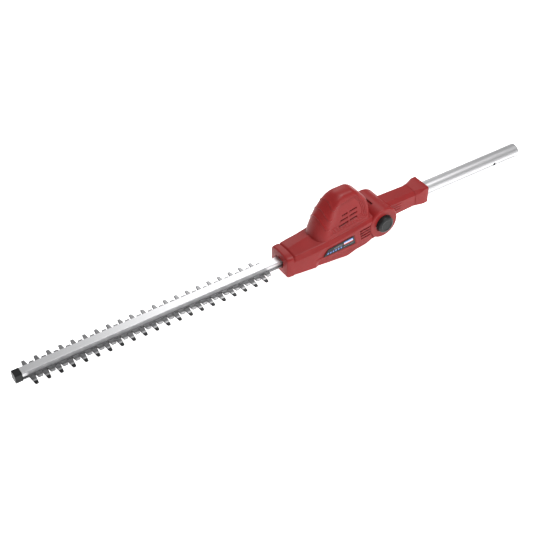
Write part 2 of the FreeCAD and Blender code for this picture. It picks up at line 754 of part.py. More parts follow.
def make_cutting_blade():
    """The sliding upper blade with short teeth ground to a bevel."""
    body = new_body("cutting_blade")
    thickness, top = cell("blade_thickness"), cell("blade_top")
    low = top - thickness
    land = thickness * 0.35
    spine = new_sketch(body, "blade_spine", "XY_Plane", low)
    rectangle(spine, cell("blade_front"), cell("blade_rear"), -cell("blade_half"), cell("blade_half"))
    pad(body, spine, "blade_plate", thickness)
    x = cell("first_tooth") + cell("pitch") / 2
    foot = new_sketch(body, "blade_tooth_land", "XY_Plane", low)
    tooth_outline(foot, x, cell("blade_half") - 0.5, 6.6, cell("blade_reach"), 4.4, 1.2)
    lands = pad(body, foot, "blade_land", land)
    bevel = new_sketch(body, "blade_tooth_bevel", "XY_Plane", low + land)
    tooth_outline(bevel, x, cell("blade_half") - 3, 7.1, cell("blade_reach"), 4.4, 1.2)
    bevels = pad(body, bevel, "blade_bevel", thickness - land, taper=-50)
    repeat_along_x(body, [lands, bevels], "blade_teeth", cell("pitch"), cell("short_teeth"))
    slot = new_sketch(body, "blade_slot_profile", "XY_Plane", low)
    reach = cell("stroke") / 2 + 4
    first = cell("screw_first")
    rectangle(slot, first - reach, first + reach, -3.55, 3.55)
    slots = pocket(body, slot, "blade_slot", thickness, backwards=True)
    repeat_along_x(body, [slots], "blade_slots", cell("screw_pitch"), cell("screw_count"))
    hole = new_sketch(body, "blade_pin_profile", "XY_Plane", low)
    disc(hole, cell("blade_pin_x"), 0, 3)
    pocket(body, hole, "blade_pin_hole", thickness, backwards=True)


def make_blade_fasteners():
    comb_bottom = number("comb_top") - number("comb_thickness")
    spacer_height = number("bar_bottom") - number("comb_top")
    screws, spacers = [], []
    for x in screw_positions():
        head = rod(4, 2.2, x, 0, comb_bottom - 2.2).cut(rod(1.6, 1.2, x, 0, comb_bottom - 2.2))
        screws.append(head.fuse(rod(2, 9.2, x, 0, comb_bottom)))
        spacers.append(rod(3.5, spacer_height, x, 0, number("comb_top")).cut(
            rod(2.05, spacer_height, x, 0, number("comb_top"))))
    group("blade_screws", screws)
    group("blade_spacers", spacers)


def make_nose_cap():
    """The black end cap over the front of the bar and the comb."""
    body = new_body("nose_cap")
    half, low, high = cell("cap_half"), cell("cap_bottom"), cell("cap_top")
    front, rear = cell("cap_front"), cell("cap_rear")
    profile = new_sketch(body, "cap_profile", "YZ_Plane", front)
    outline(profile, [
        (-half + 1.5, low), (half - 1.5, low), (half, low + 1.5), (half, high - 2), (half - 2, high),
        (-half + 2, high), (-half, high - 2), (-half, low + 1.5),
    ])
    pad(body, profile, "cap_block", rear - front)
    seat = new_sketch(body, "cap_seat_profile", "YZ_Plane", rear)
    rectangle(seat, -cell("bar_half"), cell("bar_half"), cell("bar_bottom"), cell("bar_top"))
    pocket(body, seat, "cap_seat", rear - cell("bar_front"))


# ================================================================ drive

crank_x = cell("crank_x")
motor_x = cell("motor_x")


def make_gear(label, x, teeth_alias, bottom, top, half_root, half_tip, bore, turn):
    """A spur gear about a vertical axis, with one straight-sided tooth repeated round it."""
    module = cell("module")
    teeth = cell(teeth_alias)
    pitch_radius = module * teeth / 2
    root = pitch_radius - module
    tip = pitch_radius + 0.7 * module
    body = new_body(label)
    body.Placement = FreeCAD.Placement(Vector(), FreeCAD.Rotation(Vector(0, 0, 1), turn))
    bind(body, Placement__Base__x=x)
    height = Size.of(top) - bottom
    blank = new_sketch(body, label + "_blank", "XY_Plane", bottom)
    disc(blank, 0, 0, root)
    disc(blank, 0, 0, bore)
    pad(body, blank, label + "_disc", height)
    tooth = new_sketch(body, label + "_tooth_profile", "XY_Plane", bottom)
    outline(tooth, [(root - 0.5, -half_root), (tip, -half_tip), (tip, half_tip), (root - 0.5, half_root)])
    feature = pad(body, tooth, label + "_tooth", height)
    repeat_around(body, [feature], label + "_teeth", "Z_Axis", teeth)
    return body


def make_gears():
    low, high = cell("gear_bottom"), cell("gear_top")
    half_step = 180 / number("crank_teeth")
    make_gear("crank_gear", crank_x, "crank_teeth", low, high, 0.7, 0.38, 4, half_step)
    make_gear("motor_pinion", motor_x, "pinion_teeth", low - 1, high + 1, 0.66, 0.34, 1.6, 180)

    shaft = cylinder("crank_rod", 4, -1 - low, crank_x, 0, low)
    node(shaft, "crank_shaft")
    pin_length = low - (cell("comb_top") + 0.15)
    pin = cylinder("crank_pin_rod", cell("crank_pin_radius"), pin_length, crank_x, cell("stroke") / 2,
                   low - pin_length)
    node(pin, "crank_pin")


def make_connecting_rod():
    """The rod from the crank pin to the blade's pin, at the blade's middle position."""
    x0, x1 = number("blade_pin_x"), number("crank_x")
    y1 = number("stroke") / 2
    top, thickness = number("comb_top") - 0.25, 3
    low = top - thickness
    length = math.hypot(x1 - x0, y1)
    bar = block((0, length), (-4, 4), (low, top))
    bar = bar.fuse([rod(6, thickness, 0, 0, low), rod(7.5, thickness, length, 0, low)])
    bar = bar.cut(rod(3.05, thickness, 0, 0, low)).cut(rod(4.1, thickness, length, 0, low))
    turn = FreeCAD.Rotation(Vector(0, 0, 1), math.degrees(math.atan2(y1, x1 - x0)))
    shape_node("connecting_rod", bar, FreeCAD.Placement(Vector(x0, 0, 0), turn))
    pin = rod(3, number("blade_top") - low + 0.4, x0, 0, low - 0.4)
    shape_node("blade_pin", pin.fuse(rod(4, 0.8, x0, 0, low - 1.2)))


def gearbox_block(shrink, low, high):
    """The gearbox outline between two heights, tapered towards the blade."""
    x0, xm, x1 = -538 + shrink, -508, -424 - shrink
    front, rear = 20 - shrink, 28.2 - shrink
    points = [(x0, -front, low), (xm, -rear, low), (x1, -rear, low), (x1, rear, low), (xm, rear, low), (x0, front, low)]
    return prism(points, (0, 0, high - low))


def make_gearbox():
    gx, mx = number("crank_x"), number("motor_x")
    base = gearbox_block(0, -40, -14).cut(gearbox_block(2, -37.5, -14))
    base = base.cut(block((-540, -530), (-10.8, 10.8), (-37.5, -14)))
    cover = gearbox_block(0, -14, -9)
    cover = cover.fuse(rod(10.4, 8, gx, 0, -9)).cut(rod(8.5, 14, gx, 0, -14.5)).cut(rod(5, 6, mx, 0, -14.5))
    screws = []
    for x, y in ((-530, -17), (-530, 17), (-429, -23), (-429, 23)):
        hole = rod(1.5, 30, x, y, -32)
        post = rod(4, 24, x, y, -38)
        base = base.fuse(post).cut(hole)
        cover = cover.cut(hole)
        screws.append(rod(1.5, 22, x, y, -31).fuse(rod(2.8, 2, x, y, -9)))
    bar_screws = []
    rib = block((-538, -516), (-7, 7), (number("bar_top"), -14))
    for x in (-533, -522):
        rib = rib.cut(rod(1.6, 30, x, 0, -32))
        cover = cover.cut(rod(1.6, 30, x, 0, -32))
        low = number("bar_top") - 4.5
        bar_screws.append(rod(1.6, -9 - low, x, 0, low).fuse(rod(3, 2, x, 0, -9)))
    cover = cover.fuse(rib).removeSplitter()
    shape_node("gearbox_base", base)
    shape_node("gearbox_cover", cover)
    group("gearbox_screws", screws)
    group("bar_screws", bar_screws)
    group("crank_bearings", [
        rod(8.5, 4, gx, 0, z).cut(rod(4.05, 4, gx, 0, z)) for z in (-14, -5)
    ])


def make_motor():
    radius, low, high = cell("can_radius"), cell("can_bottom"), cell("can_top")
    can = cylinder("can_outside", radius, high - low, motor_x, 0, low)
    room = cylinder("can_room", radius - 1.5, high - low - 3, motor_x, 0, low + 1.5)
    way = cylinder("can_way", 4, high - low, motor_x, 0, low)
    node(cut("can", can, room, way), "motor_can")
    end = ring("end_cap", radius - 0.4, 4, 6, motor_x, 0, high)
    node(end, "motor_end_cap")
    node(cylinder("shaft_rod", 1.6, 69 - (cell("gear_bottom") - 1), motor_x, 0, cell("gear_bottom") - 1),
         "motor_shaft")
    armature = cylinder("armature_core", 12, 40, motor_x, 0, 0)
    shaft_way = cylinder("armature_way", 1.6, 40, motor_x, 0, 0)
    node(cut("armature_ring", armature, shaft_way), "armature")
    magnets = ring("magnet", radius - 1.5, 12.8, 36, motor_x, 0, 2)
    node(magnets, "motor_magnets")
    mx = number("motor_x")
    tabs = [block((mx - 1.5, mx + 1.5), (y - 0.4, y + 0.4), (57, 61)) for y in (-14.5, 14.5)]
    group("motor_terminals", tabs)

    body = new_body("cooling_fan")
    bind(body, Placement__Base__x=motor_x)
    hub = new_sketch(body, "fan_hub", "XY_Plane", 61.5)
    disc(hub, 0, 0, 5)
    disc(hub, 0, 0, 1.6)
    pad(body, hub, "fan_boss", 7)
    plate = new_sketch(body, "fan_plate_profile", "XY_Plane", 67)
    disc(plate, 0, 0, 13.6)
    disc(plate, 0, 0, 1.6)
    pad(body, plate, "fan_plate", 1.5)
    vane = new_sketch(body, "fan_vane_profile", "XY_Plane", 62)
    outline(vane, [(4.6, -0.6), (13.2, -1.9), (13.2, -0.7), (4.6, 0.6)])
    feature = pad(body, vane, "fan_vane", 5.2)
    repeat_around(body, [feature], "fan_vanes", "Z_Axis", 9)


def make_motor_lead():
    """The lead from the motor terminal down to the rear of the casing, as straight runs joined by arcs."""
    corner = 8
    points = [Vector(-446.6, 14.5, 59), Vector(-418, 14.5, 59), Vector(-418, 14.5, -6), Vector(-408, 14.5, -16)]
    edges = []
    start = points[0]
    for before, here, after in zip(points, points[1:], points[2:]):
        inward = (before - here).normalize()
        onward = (after - here).normalize()
        half_turn = math.acos(max(-1, min(1, inward.dot(onward)))) / 2
        trim = corner / math.tan(half_turn)
        first = here + inward * trim
        last = here + onward * trim
        middle = here + (inward + onward).normalize() * (corner / math.sin(half_turn) - corner)
        edges.append(Part.LineSegment(start, first).toShape())
        edges.append(Part.Arc(first, middle, last).toShape())
        start = last
    edges.append(Part.LineSegment(start, points[-1]).toShape())
    path = Part.Wire(edges)
    circle = Part.Wire(Part.makeCircle(1.6, points[0], points[1] - points[0]))
    shape_node("motor_lead", path.makePipeShell([circle], True, False))


# ================================================================ the whole head

make_coupling_tube()
make_tube_end()
make_neck()
make_neck_collar()
make_tube_key()
make_pivot_metal()
make_head_arm()
make_lock_button()
make_lock_spring()
make_casing()
make_front_frame()
make_blade_bar()
make_comb_blade()
make_cutting_blade()
make_blade_fasteners()
make_nose_cap()
make_gears()
make_connecting_rod()
make_gearbox()
make_motor()
make_motor_lead()

doc.recompute()

for thing in doc.Objects:
    if "Invalid" in thing.State or "Error" in thing.State:
        raise RuntimeError(f"{thing.Label} failed: {thing.State}")
for thing in nodes:
    if thing.Shape.isNull() or not thing.Shape.isValid():
        raise RuntimeError(f"{thing.Label} has a bad shape")
for thing in nodes:
    thing.Shape.exportStep(f"parts/{thing.Label}.step")
    print(f"{thing.Label:22s} solids {len(thing.Shape.Solids)}  volume {thing.Shape.Volume:10.1f}")
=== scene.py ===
import math

import bpy
import numpy as np
from bpy.props import FloatProperty, FloatVectorProperty, PointerProperty
from mathutils import Matrix, Vector


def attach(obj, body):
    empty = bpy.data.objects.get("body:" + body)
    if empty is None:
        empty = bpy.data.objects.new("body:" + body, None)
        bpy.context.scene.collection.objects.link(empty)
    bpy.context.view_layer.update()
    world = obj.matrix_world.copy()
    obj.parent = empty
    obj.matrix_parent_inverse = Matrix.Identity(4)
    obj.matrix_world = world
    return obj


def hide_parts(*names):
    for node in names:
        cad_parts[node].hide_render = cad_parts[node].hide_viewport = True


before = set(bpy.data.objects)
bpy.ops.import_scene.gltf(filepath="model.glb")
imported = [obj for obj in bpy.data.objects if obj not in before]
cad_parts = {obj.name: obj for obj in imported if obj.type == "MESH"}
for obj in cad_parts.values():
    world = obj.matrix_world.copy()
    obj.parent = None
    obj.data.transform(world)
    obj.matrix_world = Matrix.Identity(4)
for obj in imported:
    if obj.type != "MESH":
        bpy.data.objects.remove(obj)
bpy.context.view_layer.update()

bl_info = {
    "name": "Pole hedge trimmer head",
    "version": (1, 0, 0),
    "blender": (4, 5, 0),
    "location": "View3D > Sidebar > Trimmer",
    "description": "Moulded casing, bar, comb, label, finishes and studio for a pole hedge trimmer head",
    "category": "Object",
}

MM = 0.001
# the tilting axis, and the radius round it at which the casing's rear seat ends
PIVOT_X, PIVOT_Z = -360.0, -8.5
SEAT_RADIUS = 33.0


# ---------------------------------------------------------------- curves and steps


def flow(at, knots, values):
    """A smooth curve through values at knots: a cubic whose slope at each knot follows its two neighbours."""
    knots, values, at = (np.asarray(part, float) for part in (knots, values, at))
    at = np.clip(at, knots[0], knots[-1])
    steps = np.diff(values) / np.diff(knots)
    slopes = np.concatenate([steps[:1], np.zeros(len(knots) - 2), steps[-1:]])
    same = steps[:-1] * steps[1:] > 0
    slopes[1:-1][same] = 2 * steps[:-1][same] * steps[1:][same] / (steps[:-1] + steps[1:])[same]
    spot = np.clip(np.searchsorted(knots, at, side="right") - 1, 0, len(knots) - 2)
    width = knots[spot + 1] - knots[spot]
    part = (at - knots[spot]) / width
    square, cube = part**2, part**3
    start = (2 * cube - 3 * square + 1) * values[spot] + (cube - 2 * square + part) * width * slopes[spot]
    end = (3 * square - 2 * cube) * values[spot + 1] + (cube - square) * width * slopes[spot + 1]
    return start + end


def ease(value, start, end):
    """A smooth step from 0 at start to 1 at end."""
    part = np.clip((value - start) / (end - start), 0, 1)
    return part * part * (3 - 2 * part)


def inside_slot(across, along, low, high, first, last, edge=0.45):
    """1 inside a slot and 0 outside it, with edges that thick; across and along are position arrays."""
    return (
        ease(across, low - edge, low) * ease(-across, -high - edge, -high)
        * ease(along, first - edge, first) * ease(-along, -last - edge, -last)
    )


# ---------------------------------------------------------------- surfaces


def grid_faces(rows, columns, around=False):
    """Four-cornered faces over a grid of points, closed round its columns if asked."""
    index = np.arange(rows * columns).reshape(rows, columns)
    if around:
        index = np.concatenate([index, index[:, :1]], axis=1)
    return np.stack([index[:-1, :-1], index[:-1, 1:], index[1:, 1:], index[1:, :-1]], -1).reshape(-1, 4)


def stacked_rings(rings, end_points=None):
    """A closed skin through rings of points, with a fan over each end, as (points, faces)."""
    rows, columns = rings.shape[:2]
    ends = end_points if end_points is not None else (rings[0].mean(0), rings[-1].mean(0))
    points = np.concatenate([rings.reshape(-1, 3), np.asarray(ends, float).reshape(2, 3)])
    quads = grid_faces(rows, columns, around=True)
    here = np.arange(columns)
    after = (here + 1) % columns
    no_fourth = np.full(columns, -1)
    first = np.stack([np.full(columns, rows * columns), after, here, no_fourth], -1)
    base = (rows - 1) * columns
    last = np.stack([np.full(columns, rows * columns + 1), base + here, base + after, no_fourth], -1)
    return points, np.concatenate([quads, first, last])


def facing_out(points, faces):
    """The faces, all turned over if the skin they close would otherwise hold a negative volume."""
    a, b, c = points[faces[:, 0]], points[faces[:, 1]], points[faces[:, 2]]
    d = points[np.where(faces[:, 3] < 0, faces[:, 2], faces[:, 3])]
    volume = (np.cross(a, b) * c).sum() + (np.cross(a, c) * d).sum()
    if volume >= 0:
        return faces
    turned = faces[:, ::-1].copy()
    three = faces[:, 3] < 0
    turned[three] = np.concatenate([faces[three][:, 2::-1], faces[three][:, 3:]], axis=1)
    return turned


def add_piece(name, skins, materials, body, stands_for=(), face_materials=None, crease=32):
    """A mesh object made of closed skins in millimetres, riding on a CAD body.

    Each skin is (points, faces), and a face whose fourth corner is -1 is a triangle.
    """
    points, faces, shift = [], [], 0
    for skin_points, skin_faces in skins:
        out = facing_out(skin_points, skin_faces)
        points.append(skin_points)
        faces.append(np.where(out < 0, -1, out + shift))
        shift += len(skin_points)
    points, faces = np.concatenate(points) * MM, np.concatenate(faces)
    mesh = bpy.data.meshes.new(name)
    corners = [face[:3] if face[3] < 0 else face for face in faces.tolist()]
    mesh.from_pydata(points.tolist(), [], corners)
    for material in materials:
        mesh.materials.append(material)
    if face_materials is not None:
        mesh.polygons.foreach_set("material_index", np.asarray(face_materials, np.int32))
    mesh.polygons.foreach_set("use_smooth", np.ones(len(mesh.polygons), bool))
    mesh.set_sharp_from_angle(angle=math.radians(crease))
    mesh.update()
    piece = bpy.data.objects.new(name, mesh)
    bpy.context.scene.collection.objects.link(piece)
    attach(piece, body)
    if stands_for:
        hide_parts(*stands_for)
    return piece


# ---------------------------------------------------------------- finishes


class Recipe:
    """Adds and links the shader nodes of one finish."""

    def __init__(self, name):
        self.material = bpy.data.materials.new(name)
        self.material.use_nodes = True
        self.tree = self.material.node_tree
        self.shader = self.tree.nodes["Principled BSDF"]
        self.coordinates = self.add("ShaderNodeTexCoord")

    def add(self, kind, **values):
        node = self.tree.nodes.new(kind)
        for key, value in values.items():
            if hasattr(node, key):
                setattr(node, key, value)
            else:
                node.inputs[key].default_value = value
        return node

    def link(self, out, into):
        self.tree.links.new(out, into)

    def grain(self, scale, stretch=(1, 1, 1), detail=3.0):
        """Noise over the object's own coordinates, stretched along its axes."""
        mapping = self.add("ShaderNodeMapping")
        mapping.inputs["Scale"].default_value = stretch
        self.link(self.coordinates.outputs["Object"], mapping.inputs["Vector"])
        noise = self.add("ShaderNodeTexNoise")
        noise.inputs["Scale"].default_value = scale
        noise.inputs["Detail"].default_value = detail
        self.link(mapping.outputs["Vector"], noise.inputs["Vector"])
        return noise.outputs["Fac"]

    def between(self, factor, low, high, start=0.3, end=0.7):
        """A colour ramp between two colours."""
        ramp = self.add("ShaderNodeValToRGB")
        ramp.color_ramp.elements[0].position, ramp.color_ramp.elements[1].position = start, end
        ramp.color_ramp.elements[0].color = (*low, 1)
        ramp.color_ramp.elements[1].color = (*high, 1)
        self.link(factor, ramp.inputs["Fac"])
        return ramp.outputs["Color"]

    def span(self, factor, low, high, start=0.0, end=1.0):
        """A number that runs from low to high while the factor runs from start to end."""
        node = self.add("ShaderNodeMapRange")
        for socket, value in (("From Min", start), ("From Max", end), ("To Min", low), ("To Max", high)):
            node.inputs[socket].default_value = value
        self.link(factor, node.inputs["Value"])
        return node.outputs["Result"]

    def emboss(self, factor, strength, distance):
        bump = self.add("ShaderNodeBump")
        bump.inputs["Strength"].default_value = strength
        bump.inputs["Distance"].default_value = distance
        self.link(factor, bump.inputs["Height"])
        self.link(bump.outputs["Normal"], self.shader.inputs["Normal"])

    def set(self, socket, value):
        if isinstance(value, bpy.types.NodeSocket):
            self.link(value, self.shader.inputs[socket])
        else:
            self.shader.inputs[socket].default_value = value


def shade(colour, factor):
    return tuple(min(1.0, part * factor) for part in colour[:3])


def moulded(name, colour, roughness, grain_scale=900.0, texture=0.08):
    """Moulded plastic: a fine satin texture over a colour that varies a little."""
    recipe = Recipe(name)
    cloud = recipe.grain(18.0)
    recipe.set("Base Color", recipe.between(cloud, shade(colour, 0.93), shade(colour, 1.05)))
    fine = recipe.grain(grain_scale)
    recipe.set("Roughness", recipe.span(fine, roughness - 0.05, roughness + 0.06))
    recipe.set("Specular IOR Level", 0.25)
    recipe.emboss(fine, texture, 0.0002)
    return recipe.material


def metal(name, colour, roughness, stretch=(1, 1, 1), scale=400.0, texture=0.1, shine=1.0):
    """Metal with fine lines along whichever axis has the small stretch number."""
    recipe = Recipe(name)
    lines = recipe.grain(scale, stretch, 4.0)
    recipe.set("Base Color", recipe.between(lines, shade(colour, 0.92), shade(colour, 1.05)))
    recipe.set("Metallic", shine)
    recipe.set("Roughness", recipe.span(lines, roughness - 0.08, roughness + 0.1))
    recipe.emboss(lines, texture, 0.0001)
    return recipe.material


def toothed_steel(name, colour, dark, tip_start, tip_end):
    """Blade steel with painted light on the near side's teeth: a faint painted shade, a painted highlight
    band and then a painted reflection on the tips in the colour dark; the far side's teeth keep the plain
    steel.
    """
    recipe = Recipe(name)
    lines = recipe.grain(300.0, (1, 0.08, 1), 4.0)
    split = recipe.add("ShaderNodeSeparateXYZ")
    recipe.link(recipe.coordinates.outputs["Object"], split.inputs["Vector"])
    reach = recipe.add("ShaderNodeMath", operation="MULTIPLY")
    reach.inputs[1].default_value = -1.0
    recipe.link(split.outputs["Y"], reach.inputs[0])
    # painted light along -Y: plain steel, a faint painted shade, a painted highlight band, then the painted
    # tip reflection; Y > 0 stays plain steel
    ramp = recipe.add("ShaderNodeValToRGB")
    bands = ramp.color_ramp.elements
    bands[0].position, bands[0].color = 0.0, (*shade(colour, 0.95), 1)
    bands[1].position, bands[1].color = 1.0, (*dark[:3], 1)
    for position, tint in ((0.40, shade(colour, 0.8)), (0.48, shade(colour, 1.6)), (0.62, shade(colour, 1.7)),
                           (0.66, dark)):
        band = bands.new(position)
        band.color = (*tint[:3], 1)
    recipe.link(recipe.span(reach.outputs["Value"], 0.0, 1.0, tip_start, tip_end), ramp.inputs["Fac"])
    mix = recipe.add("ShaderNodeMix", data_type="RGBA", blend_type="MULTIPLY")
    mix.inputs["Factor"].default_value = 1.0
    recipe.link(ramp.outputs["Color"], mix.inputs[6])
    recipe.link(recipe.between(lines, (0.85, 0.85, 0.85), (1.1, 1.1, 1.1)), mix.inputs[7])
    recipe.set("Base Color", mix.outputs[2])
    recipe.set("Metallic", 0.85)
    recipe.set("Roughness", recipe.span(lines, 0.3, 0.45))
    recipe.emboss(lines, 0.1, 0.0001)
    return recipe.material


def make_finishes():
    """Every finish of the head, by name."""
    colours = bpy.context.scene.trimmer_colours
    red, black, steel = colours.casing[:], colours.button[:], colours.steel[:]
    along = (0.01, 1, 1)
    return {
        "red": moulded("red plastic", red, 0.42),
        # painted shade: the floors of the sunk slots are coloured near black where the slots would lie in
        # shade
        "vent": moulded("painted vent shade", shade(red, 0.12), 0.8),
        "black": moulded("black plastic", black, 0.4),
        "fan": moulded("fan plastic", shade(black, 1.4), 0.5),
        "rubber": moulded("cable sheath", shade(black, 0.8), 0.6),
        "felt": moulded("pressed felt", (0.30, 0.28, 0.25), 0.9, 300.0, 0.6),
        "tube": metal("drawn tube aluminium", colours.aluminium[:], 0.38, along, 2500.0, 0.05),
        "bar": metal("bar aluminium", colours.aluminium[:], 0.42, along, 2500.0, 0.05),
        "cast": metal("cast aluminium", (0.48, 0.48, 0.49), 0.5, scale=160.0, texture=0.3),
        "steel": metal("plated steel", shade(steel, 1.5), 0.28),
        "dark steel": metal("sintered steel", shade(steel, 0.5), 0.45, scale=220.0),
        # comb: painted highlight band and a painted dark reflection on its near tips; cutter: the same band
        # with a lighter painted reflection on its near tips
        "comb": toothed_steel("comb steel painted highlight and dark reflection", steel, shade(steel, 0.12), 0.012, 0.031),
        "cutter": toothed_steel("cutter steel painted highlight and reflection", steel, shade(steel, 1.2), 0.010, 0.026),
        "copper": metal("copper winding", (0.66, 0.30, 0.16), 0.35, (1, 1, 14), 60.0, 0.8),
        "brass": metal("contact brass", (0.72, 0.53, 0.22), 0.3),
        "magnet": metal("magnet", (0.09, 0.09, 0.10), 0.6, scale=120.0, shine=0.4),
        "film": moulded("label film", (0.010, 0.012, 0.015), 0.3, 500.0, 0.02),
        "blue ink": moulded("blue ink", (0.20, 0.32, 0.80), 0.35, 500.0, 0.02),
        "grey ink": moulded("grey ink", (0.30, 0.30, 0.31), 0.35, 500.0, 0.02),
        "white ink": moulded("white ink", (0.80, 0.80, 0.82), 0.35, 500.0, 0.02),
        "red ink": moulded("red ink", (0.55, 0.05, 0.06), 0.35, 500.0, 0.02),
    }


FINISHES = {}

NODE_FINISH = {
    "coupling_tube": "tube", "end_connector": "black", "connector_contacts": "brass", "pole_lead": "rubber",
    "neck_shell_left": "red", "neck_shell_right": "red", "neck_collar": "red", "neck_screws": "steel",
    "tube_key_pins": "steel", "pivot_hub": "steel", "pivot_axle": "steel", "barrel_cap": "black",
    "head_arm": "red", "lock_ring": "dark steel", "detent_ring": "dark steel", "lock_spring": "steel",
    "lock_button": "black", "casing_screws": "steel", "hood_screws": "steel", "dust_seal": "felt",
    "blade_bar": "bar", "comb_blade": "comb", "cutting_blade": "cutter", "blade_screws": "steel",
    "blade_spacers": "steel", "blade_pin": "steel", "nose_cap": "black", "gearbox_base": "cast",
    "gearbox_cover": "cast", "gearbox_screws": "steel", "bar_screws": "steel", "crank_bearings": "steel",
    "crank_gear": "dark steel", "crank_shaft": "steel", "crank_pin": "steel", "connecting_rod": "dark steel",
    "motor_can": "steel", "motor_end_cap": "fan", "motor_magnets": "magnet", "motor_terminals": "brass",
    "motor_lead": "rubber", "motor_shaft": "steel", "motor_pinion": "dark steel", "cooling_fan": "fan",
    "armature": "copper", "casing_left": "red", "casing_right": "red", "motor_hood": "red",
    "front_frame": "red", "label_plate": "film",
}


# ---------------------------------------------------------------- motor hood

# height, front, rear, half width, length of the rounded front
HOOD = np.array([
    (1, -511.0, -386.5, 28.9, 26.0), (8, -509.5, -386.8, 28.5, 25.5), (20, -505.5, -387.6, 27.5, 24.5),
    (40, -497.0, -389.8, 25.2, 22.0), (55, -487.8, -394.5, 22.9, 19.5), (66, -478.5, -402.5, 21.0, 16.5),
    (74, -469.8, -410.5, 18.8, 15.0), (79, -462.5, -416.5, 15.8, 15.0), (82, -456.5, -421.0, 12.0, 14.0),
    (83.6, -450.0, -426.5, 7.0, 11.0), (84.1, -444.0, -432.0, 2.5, 5.0),
])
HOOD_ROWS, SIDE_POINTS, FRONT_POINTS, CORNER_POINTS, REAR_POINTS = 190, 172, 54, 14, 6
RIDGE_CENTRES = (73.0, 58.5, 44.0)
RIDGE_DROP, RIDGE_SPAN = 14.0, 22.0
TERRACE_STARTS = (0.8, 3.6, 6.4, 9.2)
TERRACE_BLEND = 2.5
VENT_ROWS, VENT_TOP, VENT_STEP, VENT_WIDTH = 3, 38.4, 9.3, 2.5
VENT_CLIMB, VENT_LEAN = 0.16, 0.6


def hood_vents(x, z):
    """How far each point lies inside one of the six slots, three rows of two that climb to the rear."""
    found = np.zeros_like(x)
    level = z - VENT_CLIMB * (x + 451)
    for row in range(VENT_ROWS):
        low = VENT_TOP - VENT_STEP * row
        slant = VENT_LEAN * (level - low)
        for first, last in ((-452 - 4 * row, -439.5), (-434.5, -418.5)):
            found = np.maximum(found, inside_slot(level, x - slant, low, low + VENT_WIDTH, first, last))
    return found


def hood_rings():
    """Rings of the hood: a rounded front, straight sides and small rear corners at each height.

    The front is half an ellipse. The sides sink inwards behind the front edge and below the crown's
    crease, in four terraces from the rear and the bottom, and the slots sink further. Three rolls
    stand out round the front, each falling towards the sides with the square of the distance.
    """
    sizes = bpy.context.scene.trimmer_sizes
    rise = np.linspace(0, 1, HOOD_ROWS)
    z = HOOD[0, 0] + (HOOD[-1, 0] - HOOD[0, 0]) * np.sin(rise * math.pi / 2)
    front, rear, half, nose = (flow(z, HOOD[:, 0], HOOD[:, k])[:, None] for k in (1, 2, 3, 4))
    corner = np.minimum(9.0, 0.55 * half)
    flat = np.linspace(0, 1, REAR_POINTS, endpoint=False)
    turn = np.linspace(0, math.pi / 2, CORNER_POINTS, endpoint=False)
    side = np.linspace(0, 1, SIDE_POINTS, endpoint=False)
    bow = np.linspace(0, math.pi / 2, FRONT_POINTS)
    x = np.concatenate([
        rear + 0 * flat, rear - corner + corner * np.cos(turn),
        (rear - corner) + (front + nose - rear + corner) * side, front + nose - nose * np.sin(bow),
    ], axis=1)
    y = np.concatenate([
        (half - corner) * flat, half - corner + corner * np.sin(turn), half + 0 * side, half * np.cos(bow),
    ], axis=1)
    z = np.repeat(z[:, None], x.shape[1], 1)

    edge = ease(x, front + nose - 9.0, front + nose + 13.0) * ease(rear - corner - x, -1.0, 1.0)
    crease = 66.0 + 0.19 * (x + 464)
    below = ease(crease - z, 0.0, 3.0)
    from_rear, from_floor = rear - corner - x + 1.5, z - (12.0 + 0.11 * (x + 466))
    from_both = [np.exp(-np.clip(reach, -9, 60) / TERRACE_BLEND) for reach in (from_rear, from_floor)]
    depth = -np.log(from_both[0] + from_both[1]) * TERRACE_BLEND
    terraces = sum(ease(depth, start, start + 0.6) for start in TERRACE_STARTS) / len(TERRACE_STARTS)
    sink = sizes.panel_depth / MM * terraces * edge * below
    vents = hood_vents(x, z) * ease(x, front + nose, front + nose + 1)
    y = y - sink - sizes.vent_depth / MM * vents

    lift = np.zeros_like(x)
    for centre in RIDGE_CENTRES:
        line = centre - RIDGE_DROP * (y / RIDGE_SPAN) ** 2
        above = z - line
        lift += np.exp(-(above / np.where(above > 0, 2.4, 0.7)) ** 2)
    lift *= sizes.ridge_height / MM * ease(front + nose + 2.0 - x, 0.0, 5.0)
    share = np.clip(y / half, 0, 1)
    x, y = x - lift * np.sqrt(1 - share**2), y + lift * share * 0.9

    near = np.stack([x, -y, z], -1)
    far = np.stack([x, y, z], -1)[:, ::-1][:, 1:-1]
    shading = np.concatenate([vents, vents[:, ::-1][:, 1:-1]], axis=1)
    return np.concatenate([near, far], axis=1), shading


def make_motor_hood():
    """The tall cover over the upright motor."""
    rings, shading = hood_rings()
    rows, columns = shading.shape
    skin = stacked_rings(rings)
    # faces deep inside a slot take the vent finish, which is painted shade
    deep = shading.reshape(-1)[grid_faces(rows, columns, around=True)].min(1) > 0.5
    indices = np.concatenate([deep.astype(int), np.zeros(2 * columns, int)])
    return add_piece("motor_hood_skin", [skin], [FINISHES["red"], FINISHES["vent"]], "motor_head",
                     ["motor_hood"], indices)


# ---------------------------------------------------------------- casing

